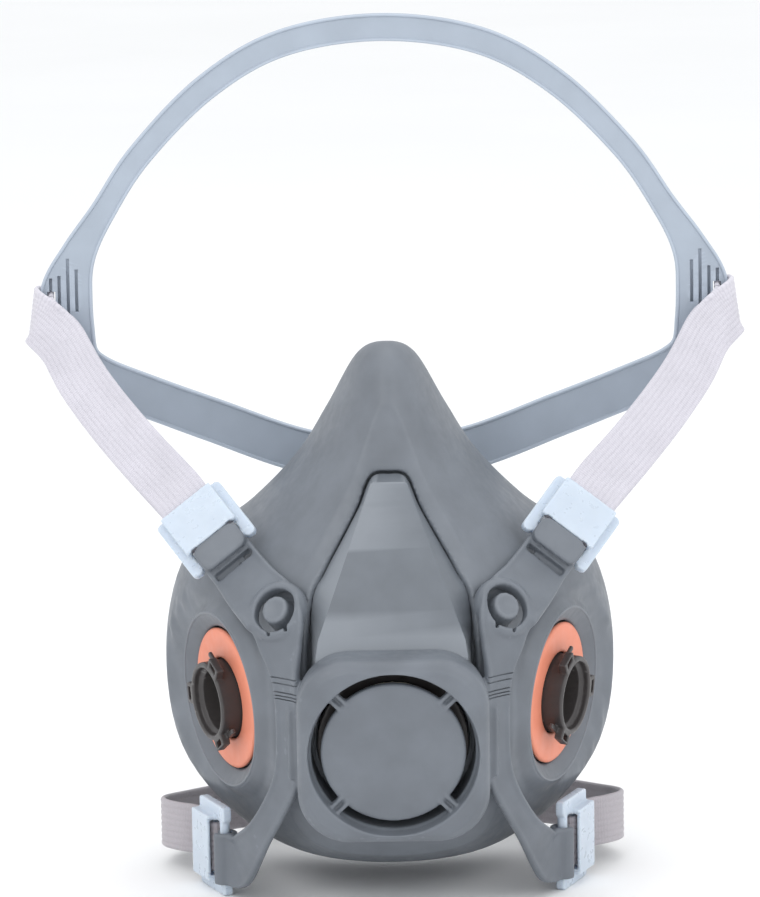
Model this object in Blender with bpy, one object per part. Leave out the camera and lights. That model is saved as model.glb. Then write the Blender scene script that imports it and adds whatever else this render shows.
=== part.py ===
"""Half-face respirator facepiece with yoke harness, buckles, straps and head cradle.

Metres, +Z up, front faces -Y, +X is the wearer's left as seen from the front (viewer's right).
The drawing below is in millimetres and is scaled by MM at the end.
"""

import math

import bmesh
import bpy
import numpy as np
from mathutils import Matrix, Vector

MM = 0.001
SKIN_T = 2.2
PORT_C = Vector((-44.2, -0.5, 50.0))
PORT_N = Vector((-0.906, -0.417, -0.07)).normalized()
RIM_R = 22.6
RIM_BORE = 18.6
TUBE_R = 10.2
TUBE_BORE = 7.6
COVER_C = Vector((0.0, -43.5, 45.0))
COVER_N = Vector((0.0, -0.9925, -0.122)).normalized()
COLLAR_HALF = 23.6
COLLAR_DEPTH = 12.2
COVER_OPEN_R = 21.3
DISC_R = 18.1
SEAT_R = 19.2
FLAP_R = 16.5
FLAP_H = -8.8
INLET_H = -5.4
STUD_P = Vector((-28.3, -25.6, 78.1))
STUD_R = 3.65
HOLE_R = 5.7
BAND_T = 2.6
BAR_R = 1.3
BAR_AHEAD = 2.9
HOOK_IN = 1.75
HOOK_OUT = 3.3
UPPER_BUCKLE_W = 20.2
UPPER_BUCKLE_L = 16.5
LOWER_BUCKLE_W = 23.4
LOWER_BUCKLE_L = 15.0
STRAP_W = 14.0
NECK_W = 13.0
STRAP_T = 1.4

# outer skin, half of it, from the nose bridge (first) to the chin (last)
RING_FRONT = [(0, -14, 111.5), (4.4, -14.2, 110.6), (7.8, -17.2, 103.5), (12.2, -20.2, 96),
              (16.8, -23.0, 88.5), (20.8, -25.8, 80), (22, -29.0, 55), (21, -28.0, 35),
              (14, -25.5, 22.5), (0, -24.5, 19.5)]
RING_RIDGE = [(0, -9.5, 128), (3.2, -10.4, 124.5), (9.6, -14.6, 108.5), (15.6, -18.2, 98),
              (20.6, -20.6, 89), (27, -21.6, 79), (30.6, -24, 55), (28.4, -22.5, 32),
              (20, -19.5, 16.5), (0, -18, 12.5)]
RING_SIDE = [(0, -4.5, 135), (5.4, -3.6, 131.5), (12.8, -3, 117), (20, -3, 105),
             (30, -3, 93.5), (39.6, -4, 82), (42.7, -4.5, 55), (39, -4, 28),
             (26, -4, 11.5), (0, -6, 7.5)]
RING_WIDE = [(0, 1, 140), (6.9, 4, 136.8), (14.6, 10, 122.5), (22.4, 13, 109.5),
             (34.6, 16, 96), (50.6, 18, 82.5), (56.6, 17, 56), (51.8, 18, 28),
             (31.6, 14, 9.6), (0, 8, 4.6)]
RING_EDGE = [(0, 7, 141.4), (7.2, 11, 138), (14.8, 20, 123.5), (22.4, 28, 110),
             (34.8, 36, 96), (52.2, 42, 81), (58.2, 43, 56), (53.2, 41, 28.5),
             (32.2, 31, 10), (0, 23, 5.2)]
RING_LIP = [(0, 13, 136), (5, 17, 132.5), (9, 25, 119), (14, 33, 105.5),
            (24, 40, 92), (39, 45.5, 77.5), (44.4, 47, 56), (39.2, 44.5, 33.5),
            (24, 35, 17), (0, 28, 12.5)]

# left band of the yoke: centre, width direction, half width
BAND = [
    ((-40.8, -6.8, 88.3), (0.79, 0.12, 0.60), 7.0),
    ((-38.6, -9.4, 85.9), (0.80, 0.02, 0.60), 7.0),
    ((-34.6, -17.1, 82.2), (0.85, -0.26, 0.46), 7.5),
    ((-29.2, -26.7, 77.8), (0.88, -0.47, 0.10), 8.0),
    ((-27.6, -29.9, 70.0), (0.84, -0.54, 0.0), 6.2),
    ((-26.6, -31.4, 62.5), (0.76, -0.65, 0.0), 4.4),
    ((-26.0, -32.2, 55.0), (0.74, -0.67, 0.0), 4.1),
    ((-26.0, -31.8, 42.0), (0.74, -0.67, 0.0), 4.1),
    ((-27.0, -30.6, 35.2), (0.80, -0.58, -0.22), 3.9),
    ((-30.2, -27.6, 27.6), (0.72, -0.52, -0.46), 3.6),
    ((-34.0, -23.8, 20.4), (0.58, -0.38, -0.72), 3.9),
    ((-37.2, -18.6, 14.6), (0.28, -0.14, -0.95), 5.4),
    ((-39.4, -14.6, 10.8), (0.0, 0.0, -1.0), 6.8),
    ((-42.2, -11.0, 10.2), (0.0, 0.0, -1.0), 7.0),
]
UPPER_RUN = Vector((-0.565, 0.57, 0.597)).normalized()
LOWER_RUN = Vector((-0.40, 0.92, 0.0)).normalized()

# half of the head cradle's centre line from its top to the middle of its lower arc, and half widths
CRADLE = [
    ((0, 56, 217.6), 3.7), ((-26, 54, 213.9), 3.65), ((-46, 50, 203.0), 3.5), ((-63.3, 43, 186.3), 3.3),
    ((-73.2, 37.5, 172.0), 3.4), ((-79.4, 34.4, 161.8), 4.6), ((-82.8, 33.1, 152.0), 6.8),
    ((-82.8, 33, 142.0), 7.0), ((-81.4, 33.2, 133.8), 6.9), ((-75.8, 35.5, 128.4), 6.4),
    ((-63, 42, 122.4), 5.8), ((-46, 49, 114.6), 5.9), ((-22.5, 54.5, 105.0), 6.0), ((0, 56, 101.5), 6.0),
]
CRADLE_T = 2.0
SLOT_C = (-86.8, 33.0, 145.6)
SLOT_HALF = (1.3, 6.0, 8.7)
LOWER_SHIFT = 1.7

# upper strap between the buckle and the cradle: centre, width direction
CLIMB = [
    ((-62.9, 11.2, 111.6), (0.74, 0.00, 0.67)),
    ((-71.6, 17.4, 121.0), (0.76, -0.06, 0.65)),
    ((-78.6, 22.6, 130.0), (0.74, -0.10, 0.66)),
    ((-83.6, 27.2, 138.6), (0.52, -0.08, 0.85)),
]
SLOT_LOOP = [
    ((-86.2, 28.0, 145.0), (0.10, 0.0, 0.99), 5.2), ((-86.8, 30.8, 145.7), (0.0, 0.0, 1.0), 5.4),
    ((-86.8, 33.2, 145.8), (0.0, 0.0, 1.0), 5.8), ((-87.3, 35.4, 145.9), (0.02, 0.0, 1.0), 6.4),
    ((-89.3, 36.2, 146.1), (0.10, 0.0, 0.99), 6.8), ((-90.9, 35.2, 146.2), (0.12, 0.0, 0.99), 7.0),
    ((-91.5, 33.1, 146.1), (0.14, 0.0, 0.99), 7.0), ((-91.1, 30.4, 145.9), (0.16, 0.0, 0.99), 7.0),
    ((-89.6, 27.8, 144.8), (0.20, 0.0, 0.98), 7.0),
]
LAYER_STEP = 1.9
FRONT_END = [(5.0, 2.4), (-0.5, 2.0), (-3.6, 2.0)]

NECK_PATH = [(-50.8, 9.8, 12.8), (-56.0, 13.8, 12.7), (-59.8, 19.6, 12.2), (-60.0, 27.0, 11.2),
             (-55.5, 36.5, 9.8), (-47.5, 45.5, 9.0), (-36.0, 52.8, 8.6), (-25.0, 55.8, 8.6),
             (-19.1, 56.0, 8.6), (-16.6, 57.0, 8.6), (-15.8, 59.0, 8.6), (-16.6, 61.0, 8.6),
             (-19.1, 62.0, 8.6), (-26.0, 61.6, 8.6)]
CLIP_X = 17.5
CLIP_Y = 59.0
CLIP_Z = 8.6
SHIFT_Y = -8.2


def clear_scene():
    for obj in list(bpy.data.objects):
        bpy.data.objects.remove(obj, do_unlink=True)


def material(name, colour, rough):
    mat = bpy.data.materials.new(name)
    mat.use_nodes = True
    shader = mat.node_tree.nodes["Principled BSDF"]
    shader.inputs["Base Color"].default_value = (*colour, 1.0)
    shader.inputs["Roughness"].default_value = rough
    return mat


def new_object(name, verts, faces, mat=None, smooth=True):
    mesh = bpy.data.meshes.new(name)
    mesh.from_pydata([tuple(v) for v in verts], [], [tuple(f) for f in faces])
    mesh.update()
    obj = bpy.data.objects.new(name, mesh)
    bpy.context.scene.collection.objects.link(obj)
    if mat:
        obj.data.materials.append(mat)
    for poly in mesh.polygons:
        poly.use_smooth = smooth
    return obj


def fix_normals(obj):
    bm = bmesh.new()
    bm.from_mesh(obj.data)
    bmesh.ops.recalc_face_normals(bm, faces=bm.faces)
    if bm.calc_volume(signed=True) < 0:
        bmesh.ops.reverse_faces(bm, faces=bm.faces)
    bm.to_mesh(obj.data)
    bm.free()


def boolean(target, cutter, operation):
    mod = target.modifiers.new("bool", "BOOLEAN")
    mod.operation = operation
    mod.solver = "EXACT"
    mod.object = cutter
    depsgraph = bpy.context.evaluated_depsgraph_get()
    evaluated = target.evaluated_get(depsgraph)
    mesh = bpy.data.meshes.new_from_object(evaluated)
    target.modifiers.clear()
    old = target.data
    target.data = mesh
    bpy.data.meshes.remove(old)
    bpy.data.objects.remove(cutter, do_unlink=True)


def catmull(points, per):
    """Points through the given ones, per steps for each span, ends kept."""
    pts = [np.array(p, float) for p in points]
    ext = [2 * pts[0] - pts[1]] + pts + [2 * pts[-1] - pts[-2]]
    out = []
    for i in range(1, len(ext) - 2):
        a, b, c, d = ext[i - 1], ext[i], ext[i + 1], ext[i + 2]
        for s in range(per):
            t = s / per
            out.append(0.5 * (2 * b + (c - a) * t + (2 * a - 5 * b + 4 * c - d) * t * t
                              + (3 * b - a - 3 * c + d) * t ** 3))
    out.append(pts[-1])
    return out


def mirrored_ring(half, per):
    """Whole ring from a half with x >= 0: nose, right side, chin, left side."""
    lead = (-half[1][0], half[1][1], half[1][2])
    tail = (-half[-2][0], half[-2][1], half[-2][2])
    fine = catmull([lead] + list(half) + [tail], per)[per:-per]
    right = [Vector(p) for p in fine]
    right[0].x = 0.0
    right[-1].x = 0.0
    left = [Vector((-p.x, p.y, p.z)) for p in reversed(right[1:-1])]
    return right + left


def skin_grid(per_round, per_across):
    keys = [RING_FRONT, RING_RIDGE, RING_SIDE, RING_WIDE, RING_EDGE, RING_LIP]
    rings = [mirrored_ring(k, per_round) for k in keys]
    columns = [catmull([r[i] for r in rings], per_across) for i in range(len(rings[0]))]
    return [[Vector(c[j]) for c in columns] for j in range(len(columns[0]))]


def grid_normals(grid):
    rows, cols = len(grid), len(grid[0])
    out = []
    for j in range(rows):
        line = []
        for i in range(cols):
            du = grid[j][(i + 1) % cols] - grid[j][i - 1]
            dv = grid[min(j + 1, rows - 1)][i] - grid[max(j - 1, 0)][i]
            line.append(du.cross(dv).normalized())
        out.append(line)
    return out


def shell_object(name, grid, thickness, mat):
    """Closed shell from an open tube-like grid, thickened inwards."""
    rows, cols = len(grid), len(grid[0])
    normals = grid_normals(grid)
    middle = Vector((0, 5, 60))
    probe = grid[rows // 2][cols // 4]
    sign = 1.0 if normals[rows // 2][cols // 4].dot(probe - middle) > 0 else -1.0
    outer = [p for row in grid for p in row]
    inner = [grid[j][i] - normals[j][i] * sign * thickness for j in range(rows) for i in range(cols)]
    n = rows * cols
    faces = []
    for j in range(rows - 1):
        for i in range(cols):
            k = (i + 1) % cols
            a, b, c, d = j * cols + i, j * cols + k, (j + 1) * cols + k, (j + 1) * cols + i
            faces.append((a, b, c, d))
            faces.append((n + a, n + d, n + c, n + b))
    for i in range(cols):
        k = (i + 1) % cols
        faces.append((i, n + i, n + k, k))
        last = (rows - 1) * cols
        faces.append((last + i, last + k, n + last + k, n + last + i))
    obj = new_object(name, outer + inner, faces, mat)
    fix_normals(obj)
    return obj


def frame_from(z_dir, x_hint=Vector((0, 0, 1))):
    z = z_dir.normalized()
    if abs(x_hint.normalized().dot(z)) > 0.99:
        x_hint = Vector((1, 0, 0))
    x = (x_hint - z * x_hint.dot(z)).normalized()
    y = z.cross(x)
    return Matrix((x, y, z)).transposed()


def place(points, origin, rot):
    return [origin + rot @ Vector(p) for p in points]


def lathe(name, profile, origin, axis, steps, mat=None, smooth=True):
    """Closed profile of (radius, height) turned about the axis."""
    rot = frame_from(axis)
    verts, faces = [], []
    n = len(profile)
    for s in range(steps):
        a = 2 * math.pi * s / steps
        for r, h in profile:
            verts.append((r * math.cos(a), r * math.sin(a), h))
    for s in range(steps):
        t = (s + 1) % steps
        for i in range(n):
            k = (i + 1) % n
            faces.append((s * n + i, t * n + i, t * n + k, s * n + k))
    obj = new_object(name, place(verts, origin, rot), faces, mat, smooth)
    fix_normals(obj)
    return obj


def puck(name, profile, origin, axis, steps, mat=None):
    """Solid of revolution from (radius, height) rings, capped at both ends."""
    rot = frame_from(axis)
    verts = []
    for r, h in profile:
        for s in range(steps):
            a = 2 * math.pi * (s + 0.5) / steps
            verts.append((r * math.cos(a), r * math.sin(a), h))
    faces = []
    for j in range(len(profile) - 1):
        for s in range(steps):
            t = (s + 1) % steps
            faces.append((j * steps + s, j * steps + t, (j + 1) * steps + t, (j + 1) * steps + s))
    last = (len(profile) - 1) * steps
    faces.append(tuple(reversed(range(steps))))
    faces.append(tuple(range(last, last + steps)))
    obj = new_object(name, place(verts, origin, rot), faces, mat)
    fix_normals(obj)
    return obj


def disc_solid(name, radius, low, high, origin, axis, steps, mat=None):
    return puck(name, [(radius, low), (radius, high)], origin, axis, steps, mat)


def mirror_half(obj):
    """Keep the -X half, mirror it and weld the two at the mid plane."""
    bm = bmesh.new()
    bm.from_mesh(obj.data)
    everything = list(bm.verts) + list(bm.edges) + list(bm.faces)
    bmesh.ops.bisect_plane(bm, geom=everything, dist=0.001, plane_co=(0, 0, 0),
                           plane_no=(1, 0, 0), clear_outer=True)
    for v in bm.verts:
        if abs(v.co.x) < 0.01:
            v.co.x = 0.0
    half = list(bm.verts) + list(bm.edges) + list(bm.faces)
    made = bmesh.ops.duplicate(bm, geom=half)["geom"]
    for item in made:
        if isinstance(item, bmesh.types.BMVert):
            item.co.x = -item.co.x
    middle = [v for v in bm.verts if v.co.x == 0.0]
    bmesh.ops.remove_doubles(bm, verts=middle, dist=0.002)
    bmesh.ops.dissolve_degenerate(bm, edges=bm.edges, dist=0.0005)
    bm.to_mesh(obj.data)
    bm.free()
    fix_normals(obj)


def block(name, origin, rot, half, mat=None):
    corners = [(sx * half[0], sy * half[1], sz * half[2])
               for sx in (-1, 1) for sy in (-1, 1) for sz in (-1, 1)]
    faces = [(0, 1, 3, 2), (4, 6, 7, 5), (0, 4, 5, 1), (2, 3, 7, 6), (0, 2, 6, 4), (1, 5, 7, 3)]
    obj = new_object(name, place(corners, origin, rot), faces, mat, False)
    fix_normals(obj)
    return obj


def loft(name, sections, mat=None, smooth=True, closed=False):
    """Sections are equal length loops of points; ends are capped unless closed."""
    n = len(sections[0])
    verts = [p for s in sections for p in s]
    faces = []
    count = len(sections)
    for j in range(count if closed else count - 1):
        k = (j + 1) % count
        for i in range(n):
            m = (i + 1) % n
            faces.append((j * n + i, j * n + m, k * n + m, k * n + i))
    if not closed:
        faces.append(tuple(reversed(range(n))))
        faces.append(tuple((count - 1) * n + i for i in range(n)))
    obj = new_object(name, verts, faces, mat, smooth)
    fix_normals(obj)
    return obj


def strip_section(centre, across, normal, half, thick):
    """Flat section with small corner rounds."""
    h = thick / 2
    e = h * 0.7
    flat = [(-half + e, -h), (half - e, -h), (half, -h + e), (half, h - e),
            (half - e, h), (-half + e, h), (-half, h - e), (-half, -h + e)]
    return [centre + across * u + normal * v for u, v in flat]


def run_frames(points):
    tangents = []
    for i in range(len(points)):
        a = points[max(i - 1, 0)]
        b = points[min(i + 1, len(points) - 1)]
        tangents.append((Vector(b) - Vector(a)).normalized())
    return tangents


def ribbon(name, stations, per, thick, mat=None):
    """Strip through stations of (centre, width direction, half width)."""
    rows = [(*c, *Vector(w).normalized(), h) for c, w, h in stations]
    fine = catmull(rows, per)
    centres = [Vector(r[:3]) for r in fine]
    tangents = run_frames(centres)
    sections = []
    for r, c, t in zip(fine, centres, tangents):
        across = Vector(r[3:6])
        across = (across - t * across.dot(t)).normalized()
        sections.append(strip_section(c, across, t.cross(across).normalized(), r[6], thick))
    return loft(name, sections, mat)


def mirror_object(obj, name):
    mesh = obj.data.copy()
    for v in mesh.vertices:
        v.co.x = -v.co.x
    copy = bpy.data.objects.new(name, mesh)
    bpy.context.scene.collection.objects.link(copy)
    fix_normals(copy)
    return copy


def hook_section():
    """Open C in a plane, mouth towards +x, as one closed outline."""
    outline = []
    mouth = math.radians(32)
    steps = 12
    for i in range(steps + 1):
        a = mouth + (2 * math.pi - 2 * mouth) * i / steps
        outline.append((HOOK_OUT * math.cos(a), HOOK_OUT * math.sin(a)))
    for i in range(steps + 1):
        a = 2 * math.pi - mouth - (2 * math.pi - 2 * mouth) * i / steps
        outline.append((HOOK_IN * math.cos(a), HOOK_IN * math.sin(a)))
    return outline


def hook_piece(centre, along, mouth_dir, half):
    """C shaped snap hook around a cross bar that runs along the given direction."""
    x = (mouth_dir - along * mouth_dir.dot(along)).normalized()
    y = along.cross(x).normalized()
    sections = []
    for s in (-half, half):
        sections.append([centre + along * s + x * u + y * v for u, v in hook_section()])
    n = len(sections[0])
    verts = sections[0] + sections[1]
    m = n // 2
    faces = [(i, (i + 1) % n, n + (i + 1) % n, n + i) for i in range(n)]
    for i in range(m - 1):
        faces.append((i, n - 1 - i, n - 2 - i, i + 1))
        faces.append((n + i, n + i + 1, 2 * n - 2 - i, 2 * n - 1 - i))
    obj = new_object("hook", verts, faces, None, True)
    fix_normals(obj)
    return obj


def upper_bar():
    centre, across, _ = BAND[0]
    w = Vector(across).normalized()
    return Vector(centre) + UPPER_RUN * BAR_AHEAD, w


def lower_bar():
    centre, across, _ = BAND[-1]
    w = Vector(across).normalized()
    return Vector(centre) + LOWER_RUN * BAR_AHEAD, w


def rounded_square(half, radius, angles):
    """Points of a square with round corners, one on each ray from the middle."""
    pts = []
    for a in angles:
        c, s = math.cos(a), math.sin(a)
        low, high = 0.0, half * 1.5
        for _ in range(40):
            mid = (low + high) / 2
            dx = max(abs(mid * c) - (half - radius), 0)
            dy = max(abs(mid * s) - (half - radius), 0)
            if math.hypot(dx, dy) > radius:
                high = mid
            else:
                low = mid
        pts.append((low * c, low * s))
    return pts


def collar(name):
    """Rounded square frame with a round bore, front edge rolled."""
    total = 44
    rot = frame_from(COVER_N, Vector((1, 0, 0)))
    angles = [2 * math.pi * (i + 0.5) / total for i in range(total)]
    rings = []
    outer = [(COLLAR_HALF - 0.6, 10.5, -COLLAR_DEPTH), (COLLAR_HALF, 10.5, -6.0),
             (COLLAR_HALF, 10.5, -2.6), (COLLAR_HALF - 0.9, 10.0, -0.8), (COLLAR_HALF - 2.2, 9.6, 0.0)]
    for half, radius, h in outer:
        rings.append([(x, y, h) for x, y in rounded_square(half, radius, angles)])
    inner = [(COVER_OPEN_R + 0.2, 0.0), (COVER_OPEN_R, -0.4), (COVER_OPEN_R - 0.3, -3.0),
             (COVER_OPEN_R - 0.3, -COLLAR_DEPTH)]
    for r, h in inner:
        rings.append([(r * math.cos(a), r * math.sin(a), h) for a in angles])
    verts = [COVER_C + rot @ Vector(p) for ring in rings for p in ring]
    faces = []
    for j in range(len(rings)):
        k = (j + 1) % len(rings)
        for i in range(total):
            m = (i + 1) % total
            faces.append((j * total + i, j * total + m, k * total + m, k * total + i))
    obj = new_object(name, verts, faces)
    fix_normals(obj)
    return obj


def build_yoke(mat):
    yoke = collar("harness_yoke")
    rot = frame_from(COVER_N, Vector((1, 0, 0)))
    disc = puck("disc", [(DISC_R - 0.4, -4.2), (DISC_R, -3.6), (DISC_R, -2.2), (DISC_R - 0.5, -1.7)],
                COVER_C, COVER_N, 32)
    for q in range(4):
        a = math.pi / 4 + q * math.pi / 2
        centre = COVER_C + rot @ Vector((19.4 * math.cos(a), 19.4 * math.sin(a), -3.0))
        turn = rot @ Matrix.Rotation(a, 3, "Z")
        boolean(disc, block("rib", centre, turn, (2.6, 1.6, 0.9)), "UNION")
    boolean(yoke, disc, "UNION")
    band = ribbon("band", BAND, 2, BAND_T)
    top, top_w = upper_bar()
    low, low_w = lower_bar()
    top_mouth = top_w.cross(UPPER_RUN)
    if top_mouth.y > 0:
        top_mouth = -top_mouth
    low_mouth = low_w.cross(LOWER_RUN)
    if low_mouth.y > 0:
        low_mouth = -low_mouth
    boolean(band, hook_piece(top, top_w, top_mouth + UPPER_RUN * 0.8, 6.8), "UNION")
    boolean(band, hook_piece(low, low_w, low_mouth + LOWER_RUN * 0.8, 6.8), "UNION")
    hole_axis = band_normal(3)
    boolean(band, disc_solid("hole", HOLE_R, -8, 8, STUD_P, hole_axis, 20), "DIFFERENCE")
    other = mirror_object(band, "band_right")
    web_half = (2.4, 1.9, 9.0)
    for part, side in ((band, -1), (other, 1)):
        web = block("web", Vector((side * 23.9, -32.9, 46.0)), Matrix.Identity(3), web_half)
        boolean(part, web, "UNION")
        boolean(yoke, part, "UNION")
    yoke.data.materials.clear()
    yoke.data.materials.append(mat)
    return yoke


def band_normal(index):
    a = Vector(BAND[index - 1][0])
    b = Vector(BAND[index + 1][0])
    t = (b - a).normalized()
    w = Vector(BAND[index][1]).normalized()
    n = t.cross(w).normalized()
    return n if n.y < 0 else -n


def build_skin(mat):
    skin = shell_object("facepiece_skin", skin_grid(3, 3), SKIN_T, mat)
    rim = puck("rim", [(RIM_R + 1.0, -9.0), (RIM_R + 1.8, -2.4), (RIM_R + 0.6, -0.6),
                       (RIM_R - 0.8, 0.0)], PORT_C, PORT_N, 36)
    boolean(skin, rim, "UNION")
    boolean(skin, disc_solid("bore", RIM_BORE, -20, 12, PORT_C, PORT_N, 36), "DIFFERENCE")
    boolean(skin, disc_solid("stud", STUD_R, -5.5, 4.6, STUD_P, band_normal(3), 16), "UNION")
    mirror_half(skin)
    return skin


def build_chassis(mat):
    """Hard centre: a plate that fills the skin's front opening, with the valve bore."""
    ring = mirrored_ring(RING_FRONT, 3)
    centre = Vector((0, -24, 60))
    outer = []
    back = []
    for p in ring:
        away = Vector((p.x, 0, p.z - centre.z)).normalized()
        outer.append(p - away * 0.6)
        back.append(p - away * 2.8 + Vector((0, 3.0, 0)))
    n = len(outer)
    verts = outer + back
    faces = [(i, (i + 1) % n, n + (i + 1) % n, n + i) for i in range(n)]
    half = n // 2
    for i in range(half):
        a, b = i, i + 1
        c, d = (n - i - 1) % n, (n - i) % n
        front = [a, b, c, d] if len({a, b, c, d}) == 4 else list(dict.fromkeys([a, b, c, d]))
        faces.append(tuple(front))
        faces.append(tuple(n + v for v in reversed(front)))
    obj = new_object("chassis_panel", verts, faces, mat)
    fix_normals(obj)
    boolean(obj, disc_solid("bore", SEAT_R + 0.2, -40, 20, COVER_C, COVER_N, 32), "DIFFERENCE")
    return obj


def build_ports(mat, gasket_mat, valve_mat):
    """Bayonet tube with flange and three lugs, gasket and inhalation flap, for each side."""
    tube = puck("bayonet_port_left", [(RIM_BORE - 0.4, -4.6), (RIM_BORE - 0.4, -3.0),
                                      (TUBE_R, -3.0), (TUBE_R, 3.2), (TUBE_R - 0.5, 3.7)],
                PORT_C, PORT_N, 32, mat)
    boolean(tube, disc_solid("bore", TUBE_BORE, -6, 5, PORT_C, PORT_N, 28), "DIFFERENCE")
    rot = frame_from(PORT_N)
    for q in range(3):
        a = math.radians(90 + 120 * q)
        centre = PORT_C + rot @ Vector(((TUBE_R + 0.8) * math.cos(a), (TUBE_R + 0.8) * math.sin(a), 2.25))
        turn = rot @ Matrix.Rotation(a, 3, "Z")
        boolean(tube, block("lug", centre, turn, (1.3, 2.6, 0.75)), "UNION")
    for q in range(2):
        turn = rot @ Matrix.Rotation(q * math.pi / 2, 3, "Z")
        size = (TUBE_BORE + 0.8, 0.8, 0.6 - 0.1 * q)
        boolean(tube, block("spoke", PORT_C + PORT_N * -3.8, turn, size), "UNION")
    boolean(tube, disc_solid("post", 2.0, -6.4, -2.6, PORT_C, PORT_N, 16), "UNION")
    gasket = lathe("port_gasket_left", [(TUBE_R + 0.4, -2.7), (RIM_BORE - 0.5, -2.7), (RIM_BORE - 0.5, -2.0),
                                        (RIM_BORE - 1.2, -1.5), (TUBE_R + 1.0, -1.5), (TUBE_R + 0.4, -2.0)],
                   PORT_C, PORT_N, 36, gasket_mat)
    flap = lathe("inhalation_valve_left", [(2.35, -5.5), (TUBE_BORE + 1.4, -5.7), (TUBE_BORE + 1.4, -5.1),
                                           (2.35, -4.95)], PORT_C, PORT_N, 24, valve_mat)
    for obj, name in ((tube, "bayonet_port_right"), (gasket, "port_gasket_right"),
                      (flap, "inhalation_valve_right")):
        mirror_object(obj, name)


def build_exhale(mat, valve_mat):
    """Seat ring with spokes in the chassis bore, and the flap outside it."""
    seat = lathe("exhalation_valve_seat", [(FLAP_R - 2.5, -13.2), (SEAT_R - 0.2, -13.2), (SEAT_R - 0.2, -9.0),
                                           (FLAP_R + 0.2, -9.0), (FLAP_R - 2.5, -9.8)],
                 COVER_C, COVER_N, 36, mat)
    rot = frame_from(COVER_N)
    for q in range(2):
        turn = rot @ Matrix.Rotation(q * math.pi / 2, 3, "Z")
        arm = block("spoke", COVER_C + COVER_N * -11.8, turn, (FLAP_R - 1.5, 0.9, 1.0 - 0.15 * q))
        boolean(seat, arm, "UNION")
    boolean(seat, disc_solid("post", 2.2, -12.8, -8.2, COVER_C, COVER_N, 16), "UNION")
    lathe("exhalation_valve", [(2.6, -9.1), (FLAP_R, -8.6), (FLAP_R, -8.0), (2.6, -8.5)],
          COVER_C, COVER_N, 32, valve_mat)


def buckle(name, bar, across, run, normal, width, length, mat):
    """Ladder buckle: round cross bar held by the hook, two rails and two flat bars."""
    half = width / 2
    rot = Matrix((across, run, normal)).transposed()
    body = block(name, bar + across * (half - 1.3) + run * (length / 2 - 1.2), rot,
                 (1.3, length / 2 + 0.2, 1.3))
    other = block("rail", bar - across * (half - 1.3) + run * (length / 2 - 1.2), rot,
                  (1.3, length / 2 + 0.2, 1.3))
    mid = block("mid", bar + run * (length * 0.5), rot, (half - 1.0, 1.2, 0.8))
    top = block("top", bar + run * (length - 2.7), rot, (half - 1.0, 1.5, 0.8))
    pin = disc_solid("pin", BAR_R, -(half - 1.0), half - 1.0, bar, across, 16)
    for piece in (other, mid, top, pin):
        boolean(body, piece, "UNION")
    body.data.materials.clear()
    body.data.materials.append(mat)
    return body


def upper_frame():
    bar, across = upper_bar()
    return bar, *buckle_axes(across, UPPER_RUN)


def lower_frame():
    bar, across = lower_bar()
    across, run, normal = buckle_axes(across, LOWER_RUN)
    return bar - across * LOWER_SHIFT, across, run, normal


def buckle_axes(across, toward):
    normal = across.cross(toward).normalized()
    normal = normal if normal.y < 0 else -normal
    run = normal.cross(across).normalized()
    run = run if run.dot(toward) > 0 else -run
    return across, run, normal


def build_buckles(mat):
    bar, across, run, normal = upper_frame()
    upper = buckle("upper_buckle_left", bar, across, run, normal, UPPER_BUCKLE_W, UPPER_BUCKLE_L, mat)
    mirror_object(upper, "upper_buckle_right")
    bar, across, run, normal = lower_frame()
    lower = buckle("lower_buckle_left", bar, across, run, normal, LOWER_BUCKLE_W, LOWER_BUCKLE_L, mat)
    mirror_object(lower, "lower_buckle_right")


def threading(bar, run, normal, length):
    """Strap centres round a buckle's middle bar: over it, under it, up behind."""
    mid = length * 0.5
    spots = [(mid + 1.0, 2.0), (mid - 2.2, 1.3), (mid - 2.9, 0.0),
             (mid - 2.2, -1.3), (mid + 1.0, -2.0), (length - 1.0, -2.2)]
    return [bar + run * u + normal * v for u, v in spots]


def strap_normals(stations):
    tangents = run_frames([c for c, w, h in stations])
    return [t.cross(w).normalized() for t, (c, w, h) in zip(tangents, stations)]


def build_upper_strap(mat):
    """Doubled strap: up to the cradle's slot, round its outer bar and back down in front of itself."""
    bar, across, run, normal = upper_frame()
    half = STRAP_W / 2
    stations = [(p, across, half) for p in threading(bar, run, normal, UPPER_BUCKLE_L)]
    first = len(stations)
    stations += [(Vector(c), Vector(w).normalized(), half) for c, w in CLIMB]
    stations += [(Vector(c), Vector(w).normalized(), h) for c, w, h in SLOT_LOOP]
    normals = strap_normals(stations)
    for i in reversed(range(first, first + len(CLIMB))):
        c, w, h = stations[i]
        n = normals[i] if normals[i].y < 0 else -normals[i]
        stations.append((c + n * LAYER_STEP, w, h))
    for u, v in FRONT_END:
        stations.append((bar + run * (UPPER_BUCKLE_L + u) + normal * v, across, half))
    strap = ribbon("upper_strap_left", stations, 2, STRAP_T, mat)
    mirror_object(strap, "upper_strap_right")


def build_neck(mat, clip_mat):
    bar, across, run, normal = lower_frame()
    half = NECK_W / 2
    stations = [(p, across, half) for p in threading(bar, run, normal, LOWER_BUCKLE_L)]
    down = Vector((0, 0, -1))
    for c in NECK_PATH:
        stations.append((Vector(c), down, half))
    strap = ribbon("neck_strap_left", stations, 2, STRAP_T, mat)
    mirror_object(strap, "neck_strap_right")
    build_clips(clip_mat)


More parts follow.
